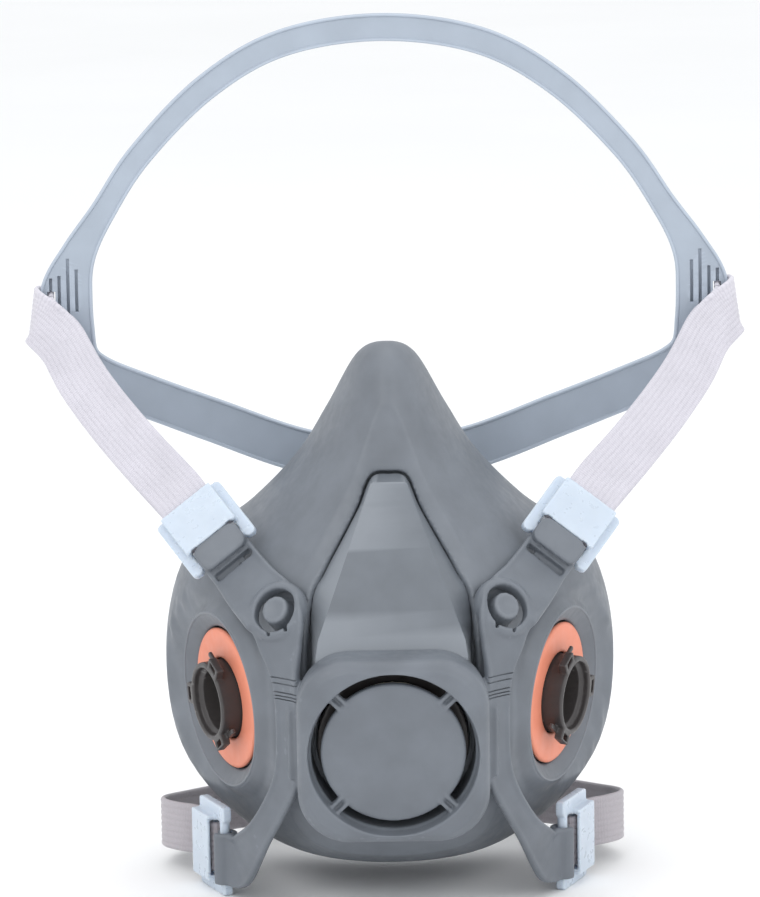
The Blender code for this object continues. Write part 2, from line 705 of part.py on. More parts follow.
def build_clips(mat):
    """Two moulded halves of the neck clip, parted: a hook and the loop it drops into."""
    flat = Matrix.Identity(3)
    end = Vector((CLIP_X, CLIP_Y, CLIP_Z))
    for side, name in ((-1, "neck_clip_hook"), (1, "neck_clip_loop")):
        x = abs(end.x)
        body = block(name, Vector((side * (x - 5.5), end.y, CLIP_Z)), flat, (1.4, 2.0, 8.2))
        bar = block("bar", Vector((side * (x + 1.6), end.y, CLIP_Z)), flat, (1.0, 2.0, 8.2))
        high = block("high", Vector((side * (x - 2.0), end.y, CLIP_Z + 7.6)), flat, (4.6, 1.9, 0.8))
        low = block("low", Vector((side * (x - 2.0), end.y, CLIP_Z - 7.6)), flat, (4.6, 1.9, 0.8))
        for piece in (bar, high, low):
            boolean(body, piece, "UNION")
        if side < 0:
            tongue = block("tongue", Vector((side * (x - 9.5), end.y, CLIP_Z)), flat, (3.6, 1.1, 3.4))
            lip = block("lip", Vector((side * (x - 12.2), end.y - 1.6, CLIP_Z)), flat, (0.8, 1.4, 3.3))
            boolean(tongue, lip, "UNION")
            boolean(body, tongue, "UNION")
        else:
            for z in (-5.4, 5.4):
                leg = block("leg", Vector((side * (x - 8.6), end.y, CLIP_Z + z)), flat, (2.8, 1.2, 1.0))
                boolean(body, leg, "UNION")
            rung = block("rung", Vector((side * (x - 11.0), end.y, CLIP_Z)), flat, (0.9, 1.1, 6.3))
            boolean(body, rung, "UNION")
        body.data.materials.clear()
        body.data.materials.append(mat)


def cradle_loop(per):
    rows = [(*c, h) for c, h in CRADLE]
    lead = (-rows[1][0], *rows[1][1:])
    tail = (-rows[-2][0], *rows[-2][1:])
    left = catmull([lead] + rows + [tail], per)[per:-per]
    right = [np.array((-r[0], *r[1:])) for r in reversed(left[1:-1])]
    return left + right


def build_cradle(mat):
    loop = cradle_loop(3)
    n = len(loop)
    sections = []
    for i in range(n):
        c = Vector(loop[i][:3])
        t = (Vector(loop[(i + 1) % n][:3]) - Vector(loop[i - 1][:3])).normalized()
        radial = (Vector((0, -1, 0)).cross(t)).normalized()
        normal = t.cross(radial).normalized()
        sections.append(strip_section(c, radial, normal, loop[i][3], CRADLE_T))
    ring = loft("head_cradle", sections, mat, closed=True)
    for side in (-1, 1):
        spot = Vector((side * abs(SLOT_C[0]), SLOT_C[1], SLOT_C[2]))
        boolean(ring, block("slot", spot, Matrix.Identity(3), SLOT_HALF), "DIFFERENCE")
    return ring


def pivots():
    """Drawing point on the joint axis of each piece that moves."""
    top, _ = upper_bar()
    low, _ = lower_bar()
    spots = {"head_cradle": Vector((0, top.y, top.z)), "exhalation_valve": COVER_C + COVER_N * FLAP_H,
             "neck_clip_hook": low, "neck_clip_loop": Vector((-low.x, low.y, low.z))}
    pairs = (("upper_buckle", top), ("lower_buckle", low), ("neck_strap", low),
             ("inhalation_valve", PORT_C + PORT_N * INLET_H))
    for name, spot in pairs:
        spots[name + "_left"] = spot
        spots[name + "_right"] = Vector((-spot.x, spot.y, spot.z))
    return spots


def settle():
    """Origin under the middle of the whole, floor at zero, millimetres to metres, origins on joints."""
    low_z = min(v.co.z for obj in bpy.data.objects for v in obj.data.vertices)
    shift = Vector((0, SHIFT_Y, -low_z))
    for obj in bpy.data.objects:
        obj.data.transform(Matrix.Scale(MM, 4) @ Matrix.Translation(shift))
    for name, spot in pivots().items():
        centre = (spot + shift) * MM
        obj = bpy.data.objects[name]
        obj.data.transform(Matrix.Translation(-centre))
        obj.location = centre
    for obj in bpy.data.objects:
        obj.data.update()


def main():
    clear_scene()
    grey = material("facepiece_rubber", (0.20, 0.22, 0.25), 0.5)
    yoke_mat = material("yoke_rubber", (0.19, 0.21, 0.24), 0.5)
    panel = material("chassis_plastic", (0.19, 0.21, 0.24), 0.45)
    dark = material("port_plastic", (0.06, 0.05, 0.05), 0.4)
    salmon = material("gasket_rubber", (0.9, 0.35, 0.22), 0.5)
    flap = material("valve_rubber", (0.75, 0.72, 0.62), 0.5)
    clear = material("buckle_plastic", (0.72, 0.78, 0.85), 0.3)
    pale = material("cradle_plastic", (0.42, 0.47, 0.55), 0.45)
    build_skin(grey)
    build_chassis(panel)
    build_yoke(yoke_mat)
    build_ports(dark, salmon, flap)
    build_exhale(dark, flap)
    build_buckles(clear)
    build_cradle(pale)
    web = material("strap_white", (0.72, 0.70, 0.76), 0.8)
    neck = material("strap_grey", (0.55, 0.53, 0.55), 0.8)
    build_upper_strap(web)
    build_neck(neck, clear)
    settle()


main()
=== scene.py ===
"""Looks of a half-face respirator: moulded facepiece, yoke harness, ports, buckles, webbing and cradle.

Every outline below is drawn in millimetres in the part's own drawing frame: +Z up, front faces -Y.
settle() takes a piece from there to the row frame in metres. "left" is the -X side.
"""

import math

import bmesh
import bpy
import numpy as np
from mathutils import Matrix, Quaternion, Vector


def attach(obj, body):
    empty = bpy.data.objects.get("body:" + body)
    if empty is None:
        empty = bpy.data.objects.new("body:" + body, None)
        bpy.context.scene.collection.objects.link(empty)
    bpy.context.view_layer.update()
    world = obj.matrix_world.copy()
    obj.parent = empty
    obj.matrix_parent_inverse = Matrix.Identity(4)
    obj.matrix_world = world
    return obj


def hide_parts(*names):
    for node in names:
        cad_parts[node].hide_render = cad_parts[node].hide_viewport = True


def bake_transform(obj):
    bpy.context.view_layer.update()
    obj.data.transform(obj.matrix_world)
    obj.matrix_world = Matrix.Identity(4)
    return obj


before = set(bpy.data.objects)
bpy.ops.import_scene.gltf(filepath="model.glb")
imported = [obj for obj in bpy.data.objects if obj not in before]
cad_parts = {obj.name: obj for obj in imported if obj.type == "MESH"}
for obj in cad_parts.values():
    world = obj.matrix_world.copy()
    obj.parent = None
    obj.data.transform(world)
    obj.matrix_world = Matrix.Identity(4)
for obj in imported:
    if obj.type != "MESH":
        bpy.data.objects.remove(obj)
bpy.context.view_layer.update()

MM = 0.001
SHIFT = Vector((0.0, -8.2, -0.2))
FINE = 1.0

# facepiece
SKIN_T = 2.2
PORT_C = Vector((-44.2, -0.5, 50.0))
PORT_N = Vector((-0.906, -0.417, -0.07)).normalized()
RIM_R = 22.6
RIM_BORE = 18.6
SEAT_LOW = -1.4
SEAT_FLAT_R = 25.5
SEAT_REACH = 40.0
SEAT_FLARE = 0.12
TUBE_R = 10.2
TUBE_BORE = 7.6
LUGS = 3
LUG_RISE = 2.6
LUG_HALF = (1.5, 2.7, 1.1)
LUG_HOLE_HALF = (0.75, 1.7, 2.0)
RAMP_HALF = (0.6, 2.2, 0.5)
STUD_P = Vector((-28.3, -25.6, 78.1))
STUD_R = 3.65
HOLE_R = 5.7
MOAT_LOW = -3.4
MOAT_HIGH = 6.0
NOTCH_ASIDE = 2.4

# valve cover in the middle of the yoke
COVER_C = Vector((0.0, -43.5, 45.0))
COVER_N = Vector((0.0, -0.9925, -0.122)).normalized()
COLLAR_HALF = 24.0
COLLAR_DEPTH = 12.2
COVER_OPEN_R = 21.3
DISC_R = 18.1
SEAT_R = 19.2
RIB_AT = 19.5

# harness
BAND_T = 2.6
BAR_R = 1.3
BAR_AHEAD = 2.9
HOOK_IN = 1.75
HOOK_OUT = 3.3
HOOK_HALF = 6.8
HOOK_MOUTH = 32
UPPER_BUCKLE_W = 20.2
UPPER_BUCKLE_L = 16.5
LOWER_BUCKLE_W = 23.4
LOWER_BUCKLE_L = 15.0
UPPER_RAIL = (UPPER_BUCKLE_W - 14.8) / 4 + 0.3
LOWER_RAIL = 2.1
STRAP_W = 14.0
NECK_W = 13.0
STRAP_T = 1.4
LOWER_SHIFT = 1.7
CRADLE_T = 2.0
SLOT_C = Vector((-86.8, 33.0, 144.4))
SLOT_HALF = (1.05, 6.0, 7.5)
SLITS = ((86.9, 150.6, 155.4), (84.7, 146.0, 156.0), (82.4, 144.0, 160.4), (80.2, 146.6, 157.6))
SLIT_HALF = 0.42
SLIT_AHEAD = 2.0
SLIT_DEPTH = 2.6

# outer skin, half of it, from the nose bridge (first) to the chin (last)
RING_FRONT = [(0, -14, 111.5), (4.4, -14.2, 110.6), (7.8, -17.2, 103.5), (12.2, -20.2, 96),
              (16.8, -23.0, 88.5), (20.8, -25.8, 80), (22, -29.0, 55), (21, -28.0, 35),
              (14, -25.5, 22.5), (0, -24.5, 19.5)]
RING_RIDGE = [(0, -9.5, 128), (3.2, -10.4, 124.5), (9.6, -14.6, 108.5), (15.6, -18.2, 98),
              (20.6, -20.6, 89), (27, -21.6, 79), (30.6, -24, 55), (28.4, -22.5, 32),
              (20, -19.5, 16.5), (0, -18, 12.5)]
RING_SIDE = [(0, -4.5, 135), (5.4, -3.6, 131.5), (12.8, -3, 117), (20, -3, 105),
             (30, -3, 93.5), (39.6, -4, 82), (42.7, -4.5, 55), (39, -4, 28),
             (26, -4, 11.5), (0, -6, 7.5)]
RING_WIDE = [(0, 1, 140), (6.9, 4, 136.8), (14.6, 10, 122.5), (22.4, 13, 109.5),
             (34.6, 16, 96), (50.6, 18, 82.5), (56.6, 17, 56), (51.8, 18, 28),
             (31.6, 14, 9.6), (0, 8, 4.6)]
RING_EDGE = [(0, 7, 141.4), (7.2, 11, 138), (14.8, 20, 123.5), (22.4, 28, 110),
             (34.8, 36, 96), (52.2, 42, 81), (58.2, 43, 56), (53.2, 41, 28.5),
             (32.2, 31, 10), (0, 23, 5.2)]
RING_LIP = [(0, 13, 136), (5, 17, 132.5), (9, 25, 119), (14, 33, 105.5),
            (24, 40, 92), (39, 45.5, 77.5), (44.4, 47, 56), (39.2, 44.5, 33.5),
            (24, 35, 17), (0, 28, 12.5)]

# left band of the yoke: centre, width direction, half width
BAND = [
    ((-40.8, -6.8, 88.3), (0.79, 0.12, 0.60), 7.0),
    ((-38.6, -9.4, 85.9), (0.80, 0.02, 0.60), 7.0),
    ((-34.6, -17.1, 82.2), (0.85, -0.26, 0.46), 7.5),
    ((-29.2, -26.7, 77.8), (0.88, -0.47, 0.10), 8.0),
    ((-27.6, -29.9, 70.0), (0.84, -0.54, 0.0), 6.2),
    ((-26.6, -31.4, 62.5), (0.76, -0.65, 0.0), 4.4),
    ((-26.0, -32.2, 55.0), (0.74, -0.67, 0.0), 4.1),
    ((-26.0, -31.8, 42.0), (0.74, -0.67, 0.0), 4.1),
    ((-27.0, -30.6, 35.2), (0.80, -0.58, -0.22), 3.9),
    ((-30.2, -27.6, 27.6), (0.72, -0.52, -0.46), 3.6),
    ((-34.0, -23.8, 20.4), (0.58, -0.38, -0.72), 3.9),
    ((-37.2, -18.6, 14.6), (0.28, -0.14, -0.95), 5.4),
    ((-39.4, -14.6, 10.8), (0.0, 0.0, -1.0), 6.8),
    ((-42.2, -11.0, 10.2), (0.0, 0.0, -1.0), 7.0),
]
UPPER_RUN = Vector((-0.565, 0.57, 0.597)).normalized()
LOWER_RUN = Vector((-0.40, 0.92, 0.0)).normalized()

# half of the head cradle's centre line from its top to the middle of its lower arc, and half widths
CRADLE = [
    ((0, 56, 217.6), 3.7), ((-26, 54, 213.9), 3.65), ((-46, 50, 203.0), 3.5), ((-63.3, 43, 186.3), 3.3),
    ((-73.2, 37.5, 172.0), 3.4), ((-79.4, 34.4, 161.8), 4.6), ((-82.8, 33.1, 152.0), 6.8),
    ((-82.8, 33, 142.0), 7.0), ((-81.4, 33.2, 133.8), 6.9), ((-75.8, 35.5, 128.4), 6.4),
    ((-63, 42, 122.4), 5.8), ((-46, 49, 114.6), 5.9), ((-22.5, 54.5, 105.0), 6.0), ((0, 56, 101.5), 6.0),
]
# upper strap between the buckle and the cradle: centre, width direction
CLIMB = [
    ((-62.9, 11.2, 111.6), (0.74, 0.00, 0.67)),
    ((-71.6, 17.4, 121.0), (0.76, -0.06, 0.65)),
    ((-78.6, 22.6, 130.0), (0.74, -0.10, 0.66)),
    ((-83.6, 27.2, 138.6), (0.52, -0.08, 0.85)),
]
SLOT_LOOP = [
    ((-86.2, 28.0, 145.0), (0.10, 0.0, 0.99), 5.2), ((-86.8, 30.8, 145.7), (0.0, 0.0, 1.0), 5.4),
    ((-86.8, 33.2, 145.8), (0.0, 0.0, 1.0), 5.8), ((-87.3, 35.4, 145.9), (0.02, 0.0, 1.0), 6.4),
    ((-89.3, 36.2, 146.1), (0.10, 0.0, 0.99), 6.8), ((-90.9, 35.2, 146.2), (0.12, 0.0, 0.99), 7.0),
    ((-91.5, 33.1, 146.1), (0.14, 0.0, 0.99), 7.0), ((-91.1, 30.4, 145.9), (0.16, 0.0, 0.99), 7.0),
    ((-89.6, 27.8, 144.8), (0.20, 0.0, 0.98), 7.0),
]
LAYER_STEP = 1.9
LAYER_SIDE = 0.5
FRONT_END = [(5.0, 2.2), (-0.5, 1.75), (-4.6, 1.7)]

NECK_PATH = [(-50.8, 9.8, 12.8), (-56.0, 13.8, 12.7), (-59.8, 19.6, 12.2), (-60.0, 27.0, 11.2),
             (-55.5, 36.5, 9.8), (-47.5, 45.5, 9.0), (-36.0, 52.8, 8.6), (-25.0, 55.8, 8.6),
             (-19.1, 56.0, 8.6), (-16.6, 57.0, 8.6), (-15.8, 59.0, 8.6), (-16.6, 61.0, 8.6),
             (-19.1, 62.0, 8.6), (-26.0, 61.6, 8.6)]


# voxel sizes that round off each moulding
SKIN_VOXEL = 0.62
ARM_VOXEL = 0.4
YOKE_VOXEL = 0.36
PORT_VOXEL = 0.26
BUCKLE_VOXEL = 0.28
SEAT_VOXEL = 0.3
CLIP_VOXEL = 0.25
FLAP_VOXEL = 0.2


# ---------------------------------------------------------------- mesh helpers

def new_object(name, verts, faces, smooth=True):
    mesh = bpy.data.meshes.new(name)
    mesh.from_pydata([tuple(v) for v in verts], [], [tuple(f) for f in faces])
    mesh.update()
    obj = bpy.data.objects.new(name, mesh)
    bpy.context.scene.collection.objects.link(obj)
    for poly in mesh.polygons:
        poly.use_smooth = smooth
    return obj


def fix_normals(obj):
    bm = bmesh.new()
    bm.from_mesh(obj.data)
    bmesh.ops.recalc_face_normals(bm, faces=bm.faces)
    if bm.calc_volume(signed=True) < 0:
        bmesh.ops.reverse_faces(bm, faces=bm.faces)
    bm.to_mesh(obj.data)
    bm.free()


def bake(obj):
    """Replace the mesh with what its modifiers make of it."""
    depsgraph = bpy.context.evaluated_depsgraph_get()
    mesh = bpy.data.meshes.new_from_object(obj.evaluated_get(depsgraph))
    obj.modifiers.clear()
    old = obj.data
    obj.data = mesh
    bpy.data.meshes.remove(old)


def join(obj, others):
    """Put the others' faces into obj and delete them."""
    bm = bmesh.new()
    bm.from_mesh(obj.data)
    for other in others:
        bm.from_mesh(other.data)
        bpy.data.objects.remove(other, do_unlink=True)
    bm.to_mesh(obj.data)
    bm.free()
    return obj


def carve(obj, cutters, solver="MANIFOLD"):
    """Cut closed shapes out of a closed piece."""
    for cutter in cutters:
        mod = obj.modifiers.new("cut", "BOOLEAN")
        mod.operation = "DIFFERENCE"
        mod.solver = solver
        mod.object = cutter
        bake(obj)
        bpy.data.objects.remove(cutter, do_unlink=True)


def soften(obj, voxel, passes, factor=0.5):
    """Fuse the overlapping bodies of a piece into one moulded skin with rounded edges."""
    mod = obj.modifiers.new("voxels", "REMESH")
    mod.mode = "VOXEL"
    mod.voxel_size = voxel * FINE
    mod.use_smooth_shade = True
    if passes:
        smooth = obj.modifiers.new("smooth", "SMOOTH")
        smooth.factor = factor
        smooth.iterations = passes
    bake(obj)


def sharpen(obj, angle=38.0):
    obj.data.shade_smooth()
    obj.data.set_sharp_from_angle(angle=math.radians(angle))


def bevel(obj, width, segments=2, angle=25.0):
    mod = obj.modifiers.new("bevel", "BEVEL")
    mod.width = width
    mod.segments = segments
    mod.limit_method = "ANGLE"
    mod.angle_limit = math.radians(angle)
    bake(obj)


def settle(obj):
    """Drawing millimetres to row metres."""
    obj.data.transform(Matrix.Scale(MM, 4) @ Matrix.Translation(SHIFT))
    obj.data.update()
    return obj


def mirrored(obj, name):
    """Copy of a piece on the other side of the middle plane."""
    mesh = obj.data.copy()
    mesh.transform(Matrix.Scale(-1, 4, Vector((1, 0, 0))))
    mesh.flip_normals()
    copy = bpy.data.objects.new(name, mesh)
    bpy.context.scene.collection.objects.link(copy)
    return copy


def catmull(points, per):
    """Points through the given ones, per steps for each span, ends kept."""
    pts = [np.array(p, float) for p in points]
    ext = [2 * pts[0] - pts[1]] + pts + [2 * pts[-1] - pts[-2]]
    out = []
    for i in range(1, len(ext) - 2):
        a, b, c, d = ext[i - 1], ext[i], ext[i + 1], ext[i + 2]
        for s in range(per):
            t = s / per
            out.append(0.5 * (2 * b + (c - a) * t + (2 * a - 5 * b + 4 * c - d) * t * t
                              + (3 * b - a - 3 * c + d) * t ** 3))
    out.append(pts[-1])
    return out


def frame_from(z_dir, x_hint=Vector((0, 0, 1))):
    z = z_dir.normalized()
    if abs(x_hint.normalized().dot(z)) > 0.99:
        x_hint = Vector((1, 0, 0))
    x = (x_hint - z * x_hint.dot(z)).normalized()
    return Matrix((x, z.cross(x), z)).transposed()


def lathe(name, profile, origin, axis, steps):
    """Closed profile of (radius, height) turned about the axis."""
    rot = frame_from(axis)
    n = len(profile)
    verts, faces = [], []
    for s in range(steps):
        a = 2 * math.pi * s / steps
        verts += [origin + rot @ Vector((r * math.cos(a), r * math.sin(a), h)) for r, h in profile]
        t = (s + 1) % steps
        for i in range(n):
            k = (i + 1) % n
            faces.append((s * n + i, t * n + i, t * n + k, s * n + k))
    obj = new_object(name, verts, faces)
    fix_normals(obj)
    return obj


def puck(name, profile, origin, axis, steps=64):
    """Solid of revolution from (radius, height) rings, capped at both ends."""
    rot = frame_from(axis)
    angles = [2 * math.pi * (s + 0.5) / steps for s in range(steps)]
    sections = [[origin + rot @ Vector((r * math.cos(a), r * math.sin(a), h)) for a in angles]
                for r, h in profile]
    return loft(name, sections)


def disc(name, radius, low, high, origin, axis, steps=64):
    return puck(name, [(radius, low), (radius, high)], origin, axis, steps)


def block(name, origin, rot, half):
    corners = [origin + rot @ Vector((sx * half[0], sy * half[1], sz * half[2]))
               for sx in (-1, 1) for sy in (-1, 1) for sz in (-1, 1)]
    faces = [(0, 1, 3, 2), (4, 6, 7, 5), (0, 4, 5, 1), (2, 3, 7, 6), (0, 2, 6, 4), (1, 5, 7, 3)]
    obj = new_object(name, corners, faces, False)
    fix_normals(obj)
    return obj


def loft(name, sections, closed=False):
    """Sections are equal length loops of points; ends are capped unless closed."""
    n = len(sections[0])
    count = len(sections)
    verts = [p for s in sections for p in s]
    faces = []
    for j in range(count if closed else count - 1):
        k = (j + 1) % count
        for i in range(n):
            m = (i + 1) % n
            faces.append((j * n + i, j * n + m, k * n + m, k * n + i))
    if not closed:
        faces.append(tuple(reversed(range(n))))
        faces.append(tuple((count - 1) * n + i for i in range(n)))
    obj = new_object(name, verts, faces)
    fix_normals(obj)
    return obj


def rounded_outline(half_x, half_y, radius, per=8):
    """Rectangle in a plane with round corners."""
    pts = []
    corners = ((1, 1, 0), (-1, 1, 90), (-1, -1, 180), (1, -1, 270))
    for sx, sy, start in corners:
        for s in range(per + 1):
            a = math.radians(start + 90 * s / per)
            pts.append((sx * (half_x - radius) + radius * math.cos(a),
                        sy * (half_y - radius) + radius * math.sin(a)))
    return pts


def plate(name, outline, low, high, origin, rot):
    """Flat outline given a thickness, in the frame of origin and rot."""
    return loft(name, [[origin + rot @ Vector((u, v, h)) for u, v in outline] for h in (low, high)])


def tangents_of(points):
    out = []
    for i in range(len(points)):
        a = points[max(i - 1, 0)]
        b = points[min(i + 1, len(points) - 1)]
        out.append((Vector(b) - Vector(a)).normalized())
    return out


def frames_along(stations, per):
    """Centre, width direction, normal and half width at fine steps through the stations."""
    rows = [(*c, *Vector(w).normalized(), h) for c, w, h in stations]
    fine = catmull(rows, per)
    centres = [Vector(r[:3]) for r in fine]
    out = []
    for row, c, t in zip(fine, centres, tangents_of(centres)):
        across = Vector(row[3:6])
        across = (across - t * across.dot(t)).normalized()
        out.append((c, across, t.cross(across).normalized(), row[6]))
    return out


# ---------------------------------------------------------------- facepiece

def mirrored_ring(half, per):
    """Whole ring from a half with x >= 0: nose, right side, chin, left side."""
    lead = (-half[1][0], half[1][1], half[1][2])
    tail = (-half[-2][0], half[-2][1], half[-2][2])
    fine = catmull([lead] + list(half) + [tail], per)[per:-per]
    right = [Vector(p) for p in fine]
    right[0].x = 0.0
    right[-1].x = 0.0
    left = [Vector((-p.x, p.y, p.z)) for p in reversed(right[1:-1])]
    return right + left


def skin_grid(per_round, per_across):
    """Rows from the front opening to the sealing lip, with a crease along the ridge."""
    keys = [RING_FRONT, RING_RIDGE, RING_SIDE, RING_WIDE, RING_EDGE, RING_LIP]
    rings = [mirrored_ring(k, per_round) for k in keys]
    columns = []
    for i in range(len(rings[0])):
        points = [r[i] for r in rings]
        strip = [points[0].lerp(points[1], s / per_across) for s in range(per_across)]
        columns.append(strip + [Vector(p) for p in catmull(points[1:], per_across)])
    return [[c[j] for c in columns] for j in range(len(columns[0]))]


def shell(name, grid, thickness):
    """Closed shell from an open tube-like grid, thickened inwards."""
    rows, cols = len(grid), len(grid[0])
    middle = Vector((0, 5, 60))
    inner = []
    for j in range(rows):
        for i in range(cols):
            du = grid[j][(i + 1) % cols] - grid[j][i - 1]
            dv = grid[min(j + 1, rows - 1)][i] - grid[max(j - 1, 0)][i]
            normal = du.cross(dv).normalized()
            inner.append((grid[j][i], normal))
    probe = inner[(rows // 2) * cols + cols // 4]
    sign = 1.0 if probe[1].dot(probe[0] - middle) > 0 else -1.0
    verts = [p for row in grid for p in row] + [p - n * sign * thickness for p, n in inner]
    n = rows * cols
    faces = []
    for j in range(rows - 1):
        for i in range(cols):
            k = (i + 1) % cols
            a, b, c, d = j * cols + i, j * cols + k, (j + 1) * cols + k, (j + 1) * cols + i
            faces += [(a, b, c, d), (n + a, n + d, n + c, n + b)]
    last = (rows - 1) * cols
    for i in range(cols):
        k = (i + 1) % cols
        faces += [(i, n + i, n + k, k), (last + i, last + k, n + last + k, n + last + i)]
    obj = new_object(name, verts, faces)
    fix_normals(obj)
    return obj


def port_rim(name):
    """Raised ring round a port: conical wall inside, thin crest, rounded shoulder outside."""
    profile = [(RIM_BORE - 1.8, -8.0), (RIM_BORE - 1.8, -5.3), (RIM_BORE, -5.3), (RIM_BORE, -2.4),
               (RIM_R - 0.7, -0.25), (RIM_R - 0.2, 0.15), (RIM_R + 0.5, 0.05), (RIM_R + 1.6, -1.0),
               (RIM_R + 2.9, -2.0), (RIM_R + 3.7, -3.2), (RIM_R + 4.1, -6.0), (RIM_R + 4.1, -12.0),
               (RIM_BORE + 3.0, -12.0)]
    return lathe(name, profile, PORT_C, PORT_N, 120)


def stud(name):
    """Round stud that the yoke's hole drops over, with a dished top."""
    profile = [(STUD_R + 0.8, -6.0), (STUD_R + 0.3, -1.0), (STUD_R, 0.0), (STUD_R, 1.7),
               (STUD_R - 0.5, 2.3), (STUD_R - 1.1, 2.2), (STUD_R - 1.6, 1.8), (0.6, 1.6)]
    return puck(name, profile, STUD_P, band_normal(3), 48)


def flattened_round_port(p):
    """A point of the outer skin pressed down to the flat seat round a port's rim."""
    side = -1.0 if p.x < 0 else 1.0
    away = Vector((p.x * -side, p.y, p.z)) - PORT_C
    height = away.dot(PORT_N)
    radius = (away - PORT_N * height).length
    limit = SEAT_LOW + max(radius - SEAT_FLAT_R, 0.0) ** 1.5 * SEAT_FLARE
    if height <= limit or radius > SEAT_REACH:
        return p
    q = PORT_C + away - PORT_N * (height - limit)
    return Vector((q.x * -side, q.y, q.z))


def stud_moat():
    """Ring cut into the skin round the stud."""
    inner, outer = STUD_R - 0.4, HOLE_R + 0.5
    corners = [(inner, MOAT_LOW), (outer, MOAT_LOW), (outer, MOAT_HIGH), (inner, MOAT_HIGH)]
    return lathe("moat", corners, STUD_P, band_normal(3), 64)


def build_facepiece():
    """Thickened skin with its port rims and studs, and a fine bead on each rim."""
    grid = [[flattened_round_port(p) for p in row] for row in skin_grid(7, 7)]
    skin = shell("facepiece_shell", grid, SKIN_T)
    hole = disc("hole", RIM_R + 1.6, -22, 14, PORT_C, PORT_N)
    moat = stud_moat()
    carve(skin, [hole, mirrored(hole, "hole"), moat, mirrored(moat, "moat")], "EXACT")
    parts = [port_rim("rim"), stud("stud")]
    parts += [mirrored(p, "other") for p in parts]
    join(skin, parts)
    soften(skin, SKIN_VOXEL, 4)
    bead = lathe("bead", [(RIM_R - 0.5, -0.9), (RIM_R - 0.32, 0.1), (RIM_R, 0.32), (RIM_R + 0.32, 0.1),
                          (RIM_R + 0.5, -0.9)], PORT_C, PORT_N, 144)
    join(skin, [bead, mirrored(bead, "other")])
    return settle(skin)


# ---------------------------------------------------------------- front panel

PANEL_TOP = Vector((-4.4, -18.6, 109.4))
PANEL_LOW = Vector((-20.6, -35.4, 66.0))
PANEL_MIDDLE_Z = 60.0
PANEL_GAP = 0.9
PANEL_GAP_LOW = 0.7
PANEL_SINK = 0.4
PANEL_SINK_LOW = 1.4
PANEL_BACK = 5.0
PANEL_BACK_INSET = 2.8
PANEL_BELLY = 8.0


def panel_outward(p):
    """Direction in the front plane from the panel's middle to a point of its ring."""
    return Vector((p.x, 0, p.z - PANEL_MIDDLE_Z)).normalized()


def share(value, whole):
    """Value as a part of whole, held between 0 and 1."""
    return min(max(value / whole, 0.0), 1.0)


def build_panel():
    """Raised flat trapezoid over the nose, with side facets that fall back to the groove."""
    ring = mirrored_ring(RING_FRONT, 6)
    n = len(ring)
    chin = n // 2
    rim, back = [], []
    for p in ring:
        away = panel_outward(p)
        low = share(100 - p.z, 30)
        sink = Vector((0, PANEL_SINK + PANEL_SINK_LOW * low, 0))
        rim.append(p - away * (PANEL_GAP + PANEL_GAP_LOW * low) + sink)
        back.append(p - away * PANEL_BACK_INSET + Vector((0, PANEL_BACK, 0)))
    crest = []
    for i, p in enumerate(rim):
        side = -1.0 if i > chin else 1.0
        edge = PANEL_TOP.lerp(PANEL_LOW, share(PANEL_TOP.z - p.z, PANEL_TOP.z - PANEL_LOW.z))
        low = share(PANEL_LOW.z - p.z, 40.0)
        x = min(abs(edge.x), abs(p.x) * 0.94) * side if p.x else 0.0
        crest.append(Vector((x, edge.y + low * PANEL_BELLY, min(p.z, PANEL_TOP.z))))
    verts = crest + rim + back
    faces = []
    for i in range(n):
        k = (i + 1) % n
        faces += [(i, k, n + k, n + i), (n + i, n + k, 2 * n + k, 2 * n + i)]
    for i in range(chin):
        quad = list(dict.fromkeys([i, i + 1, (n - i - 1) % n, (n - i) % n]))
        faces.append(tuple(quad))
        faces.append(tuple(2 * n + v for v in reversed(quad)))
    obj = new_object("front_panel", verts, faces)
    fix_normals(obj)
    carve(obj, [disc("bore", SEAT_R + 0.2, -40, 20, COVER_C, COVER_N)], "EXACT")
    bevel(obj, 0.3, 3, 16.0)
    sharpen(obj, 14.0)
    return settle(join(obj, [valve_housing(), panel_flange()]))


def valve_housing():
    """Ring behind the panel's bore, with a lip behind the valve seat."""
    profile = [(SEAT_R - 2.0, -22.0), (SEAT_R + 4.0, -22.0), (SEAT_R + 4.0, -12.8),
               (SEAT_R + 0.2, -12.8), (SEAT_R + 0.2, -13.6), (SEAT_R - 2.0, -13.6)]
    return lathe("housing", profile, COVER_C, COVER_N, 120)


def panel_flange():
    """Thin skirt of the panel that lies behind the edge of the facepiece."""
    ring = mirrored_ring(RING_FRONT, 6)
    loops = [[p - panel_outward(p) * inset + Vector((0, depth, 0)) for p in ring]
             for inset, depth in ((2.0, 3.4), (2.0, 4.6), (-2.6, 5.6), (-2.6, 4.4))]
    return loft("flange", loops, closed=True)


# ---------------------------------------------------------------- yoke

def band_normal(index):
    a = Vector(BAND[index - 1][0])
    b = Vector(BAND[index + 1][0])
    t = (b - a).normalized()
    w = Vector(BAND[index][1]).normalized()
    n = t.cross(w).normalized()
    return n if n.y < 0 else -n


def squared_ring(half, radius, angles):
    """Points of a square with round corners, one on each ray from the middle."""
    pts = []
    for a in angles:
        c, s = math.cos(a), math.sin(a)
        low, high = 0.0, half * 1.5
        for _ in range(30):
            mid = (low + high) / 2
            dx = max(abs(mid * c) - (half - radius), 0)
            dy = max(abs(mid * s) - (half - radius), 0)
            if math.hypot(dx, dy) > radius:
                high = mid
            else:
                low = mid
        pts.append((low * c, low * s))
    return pts


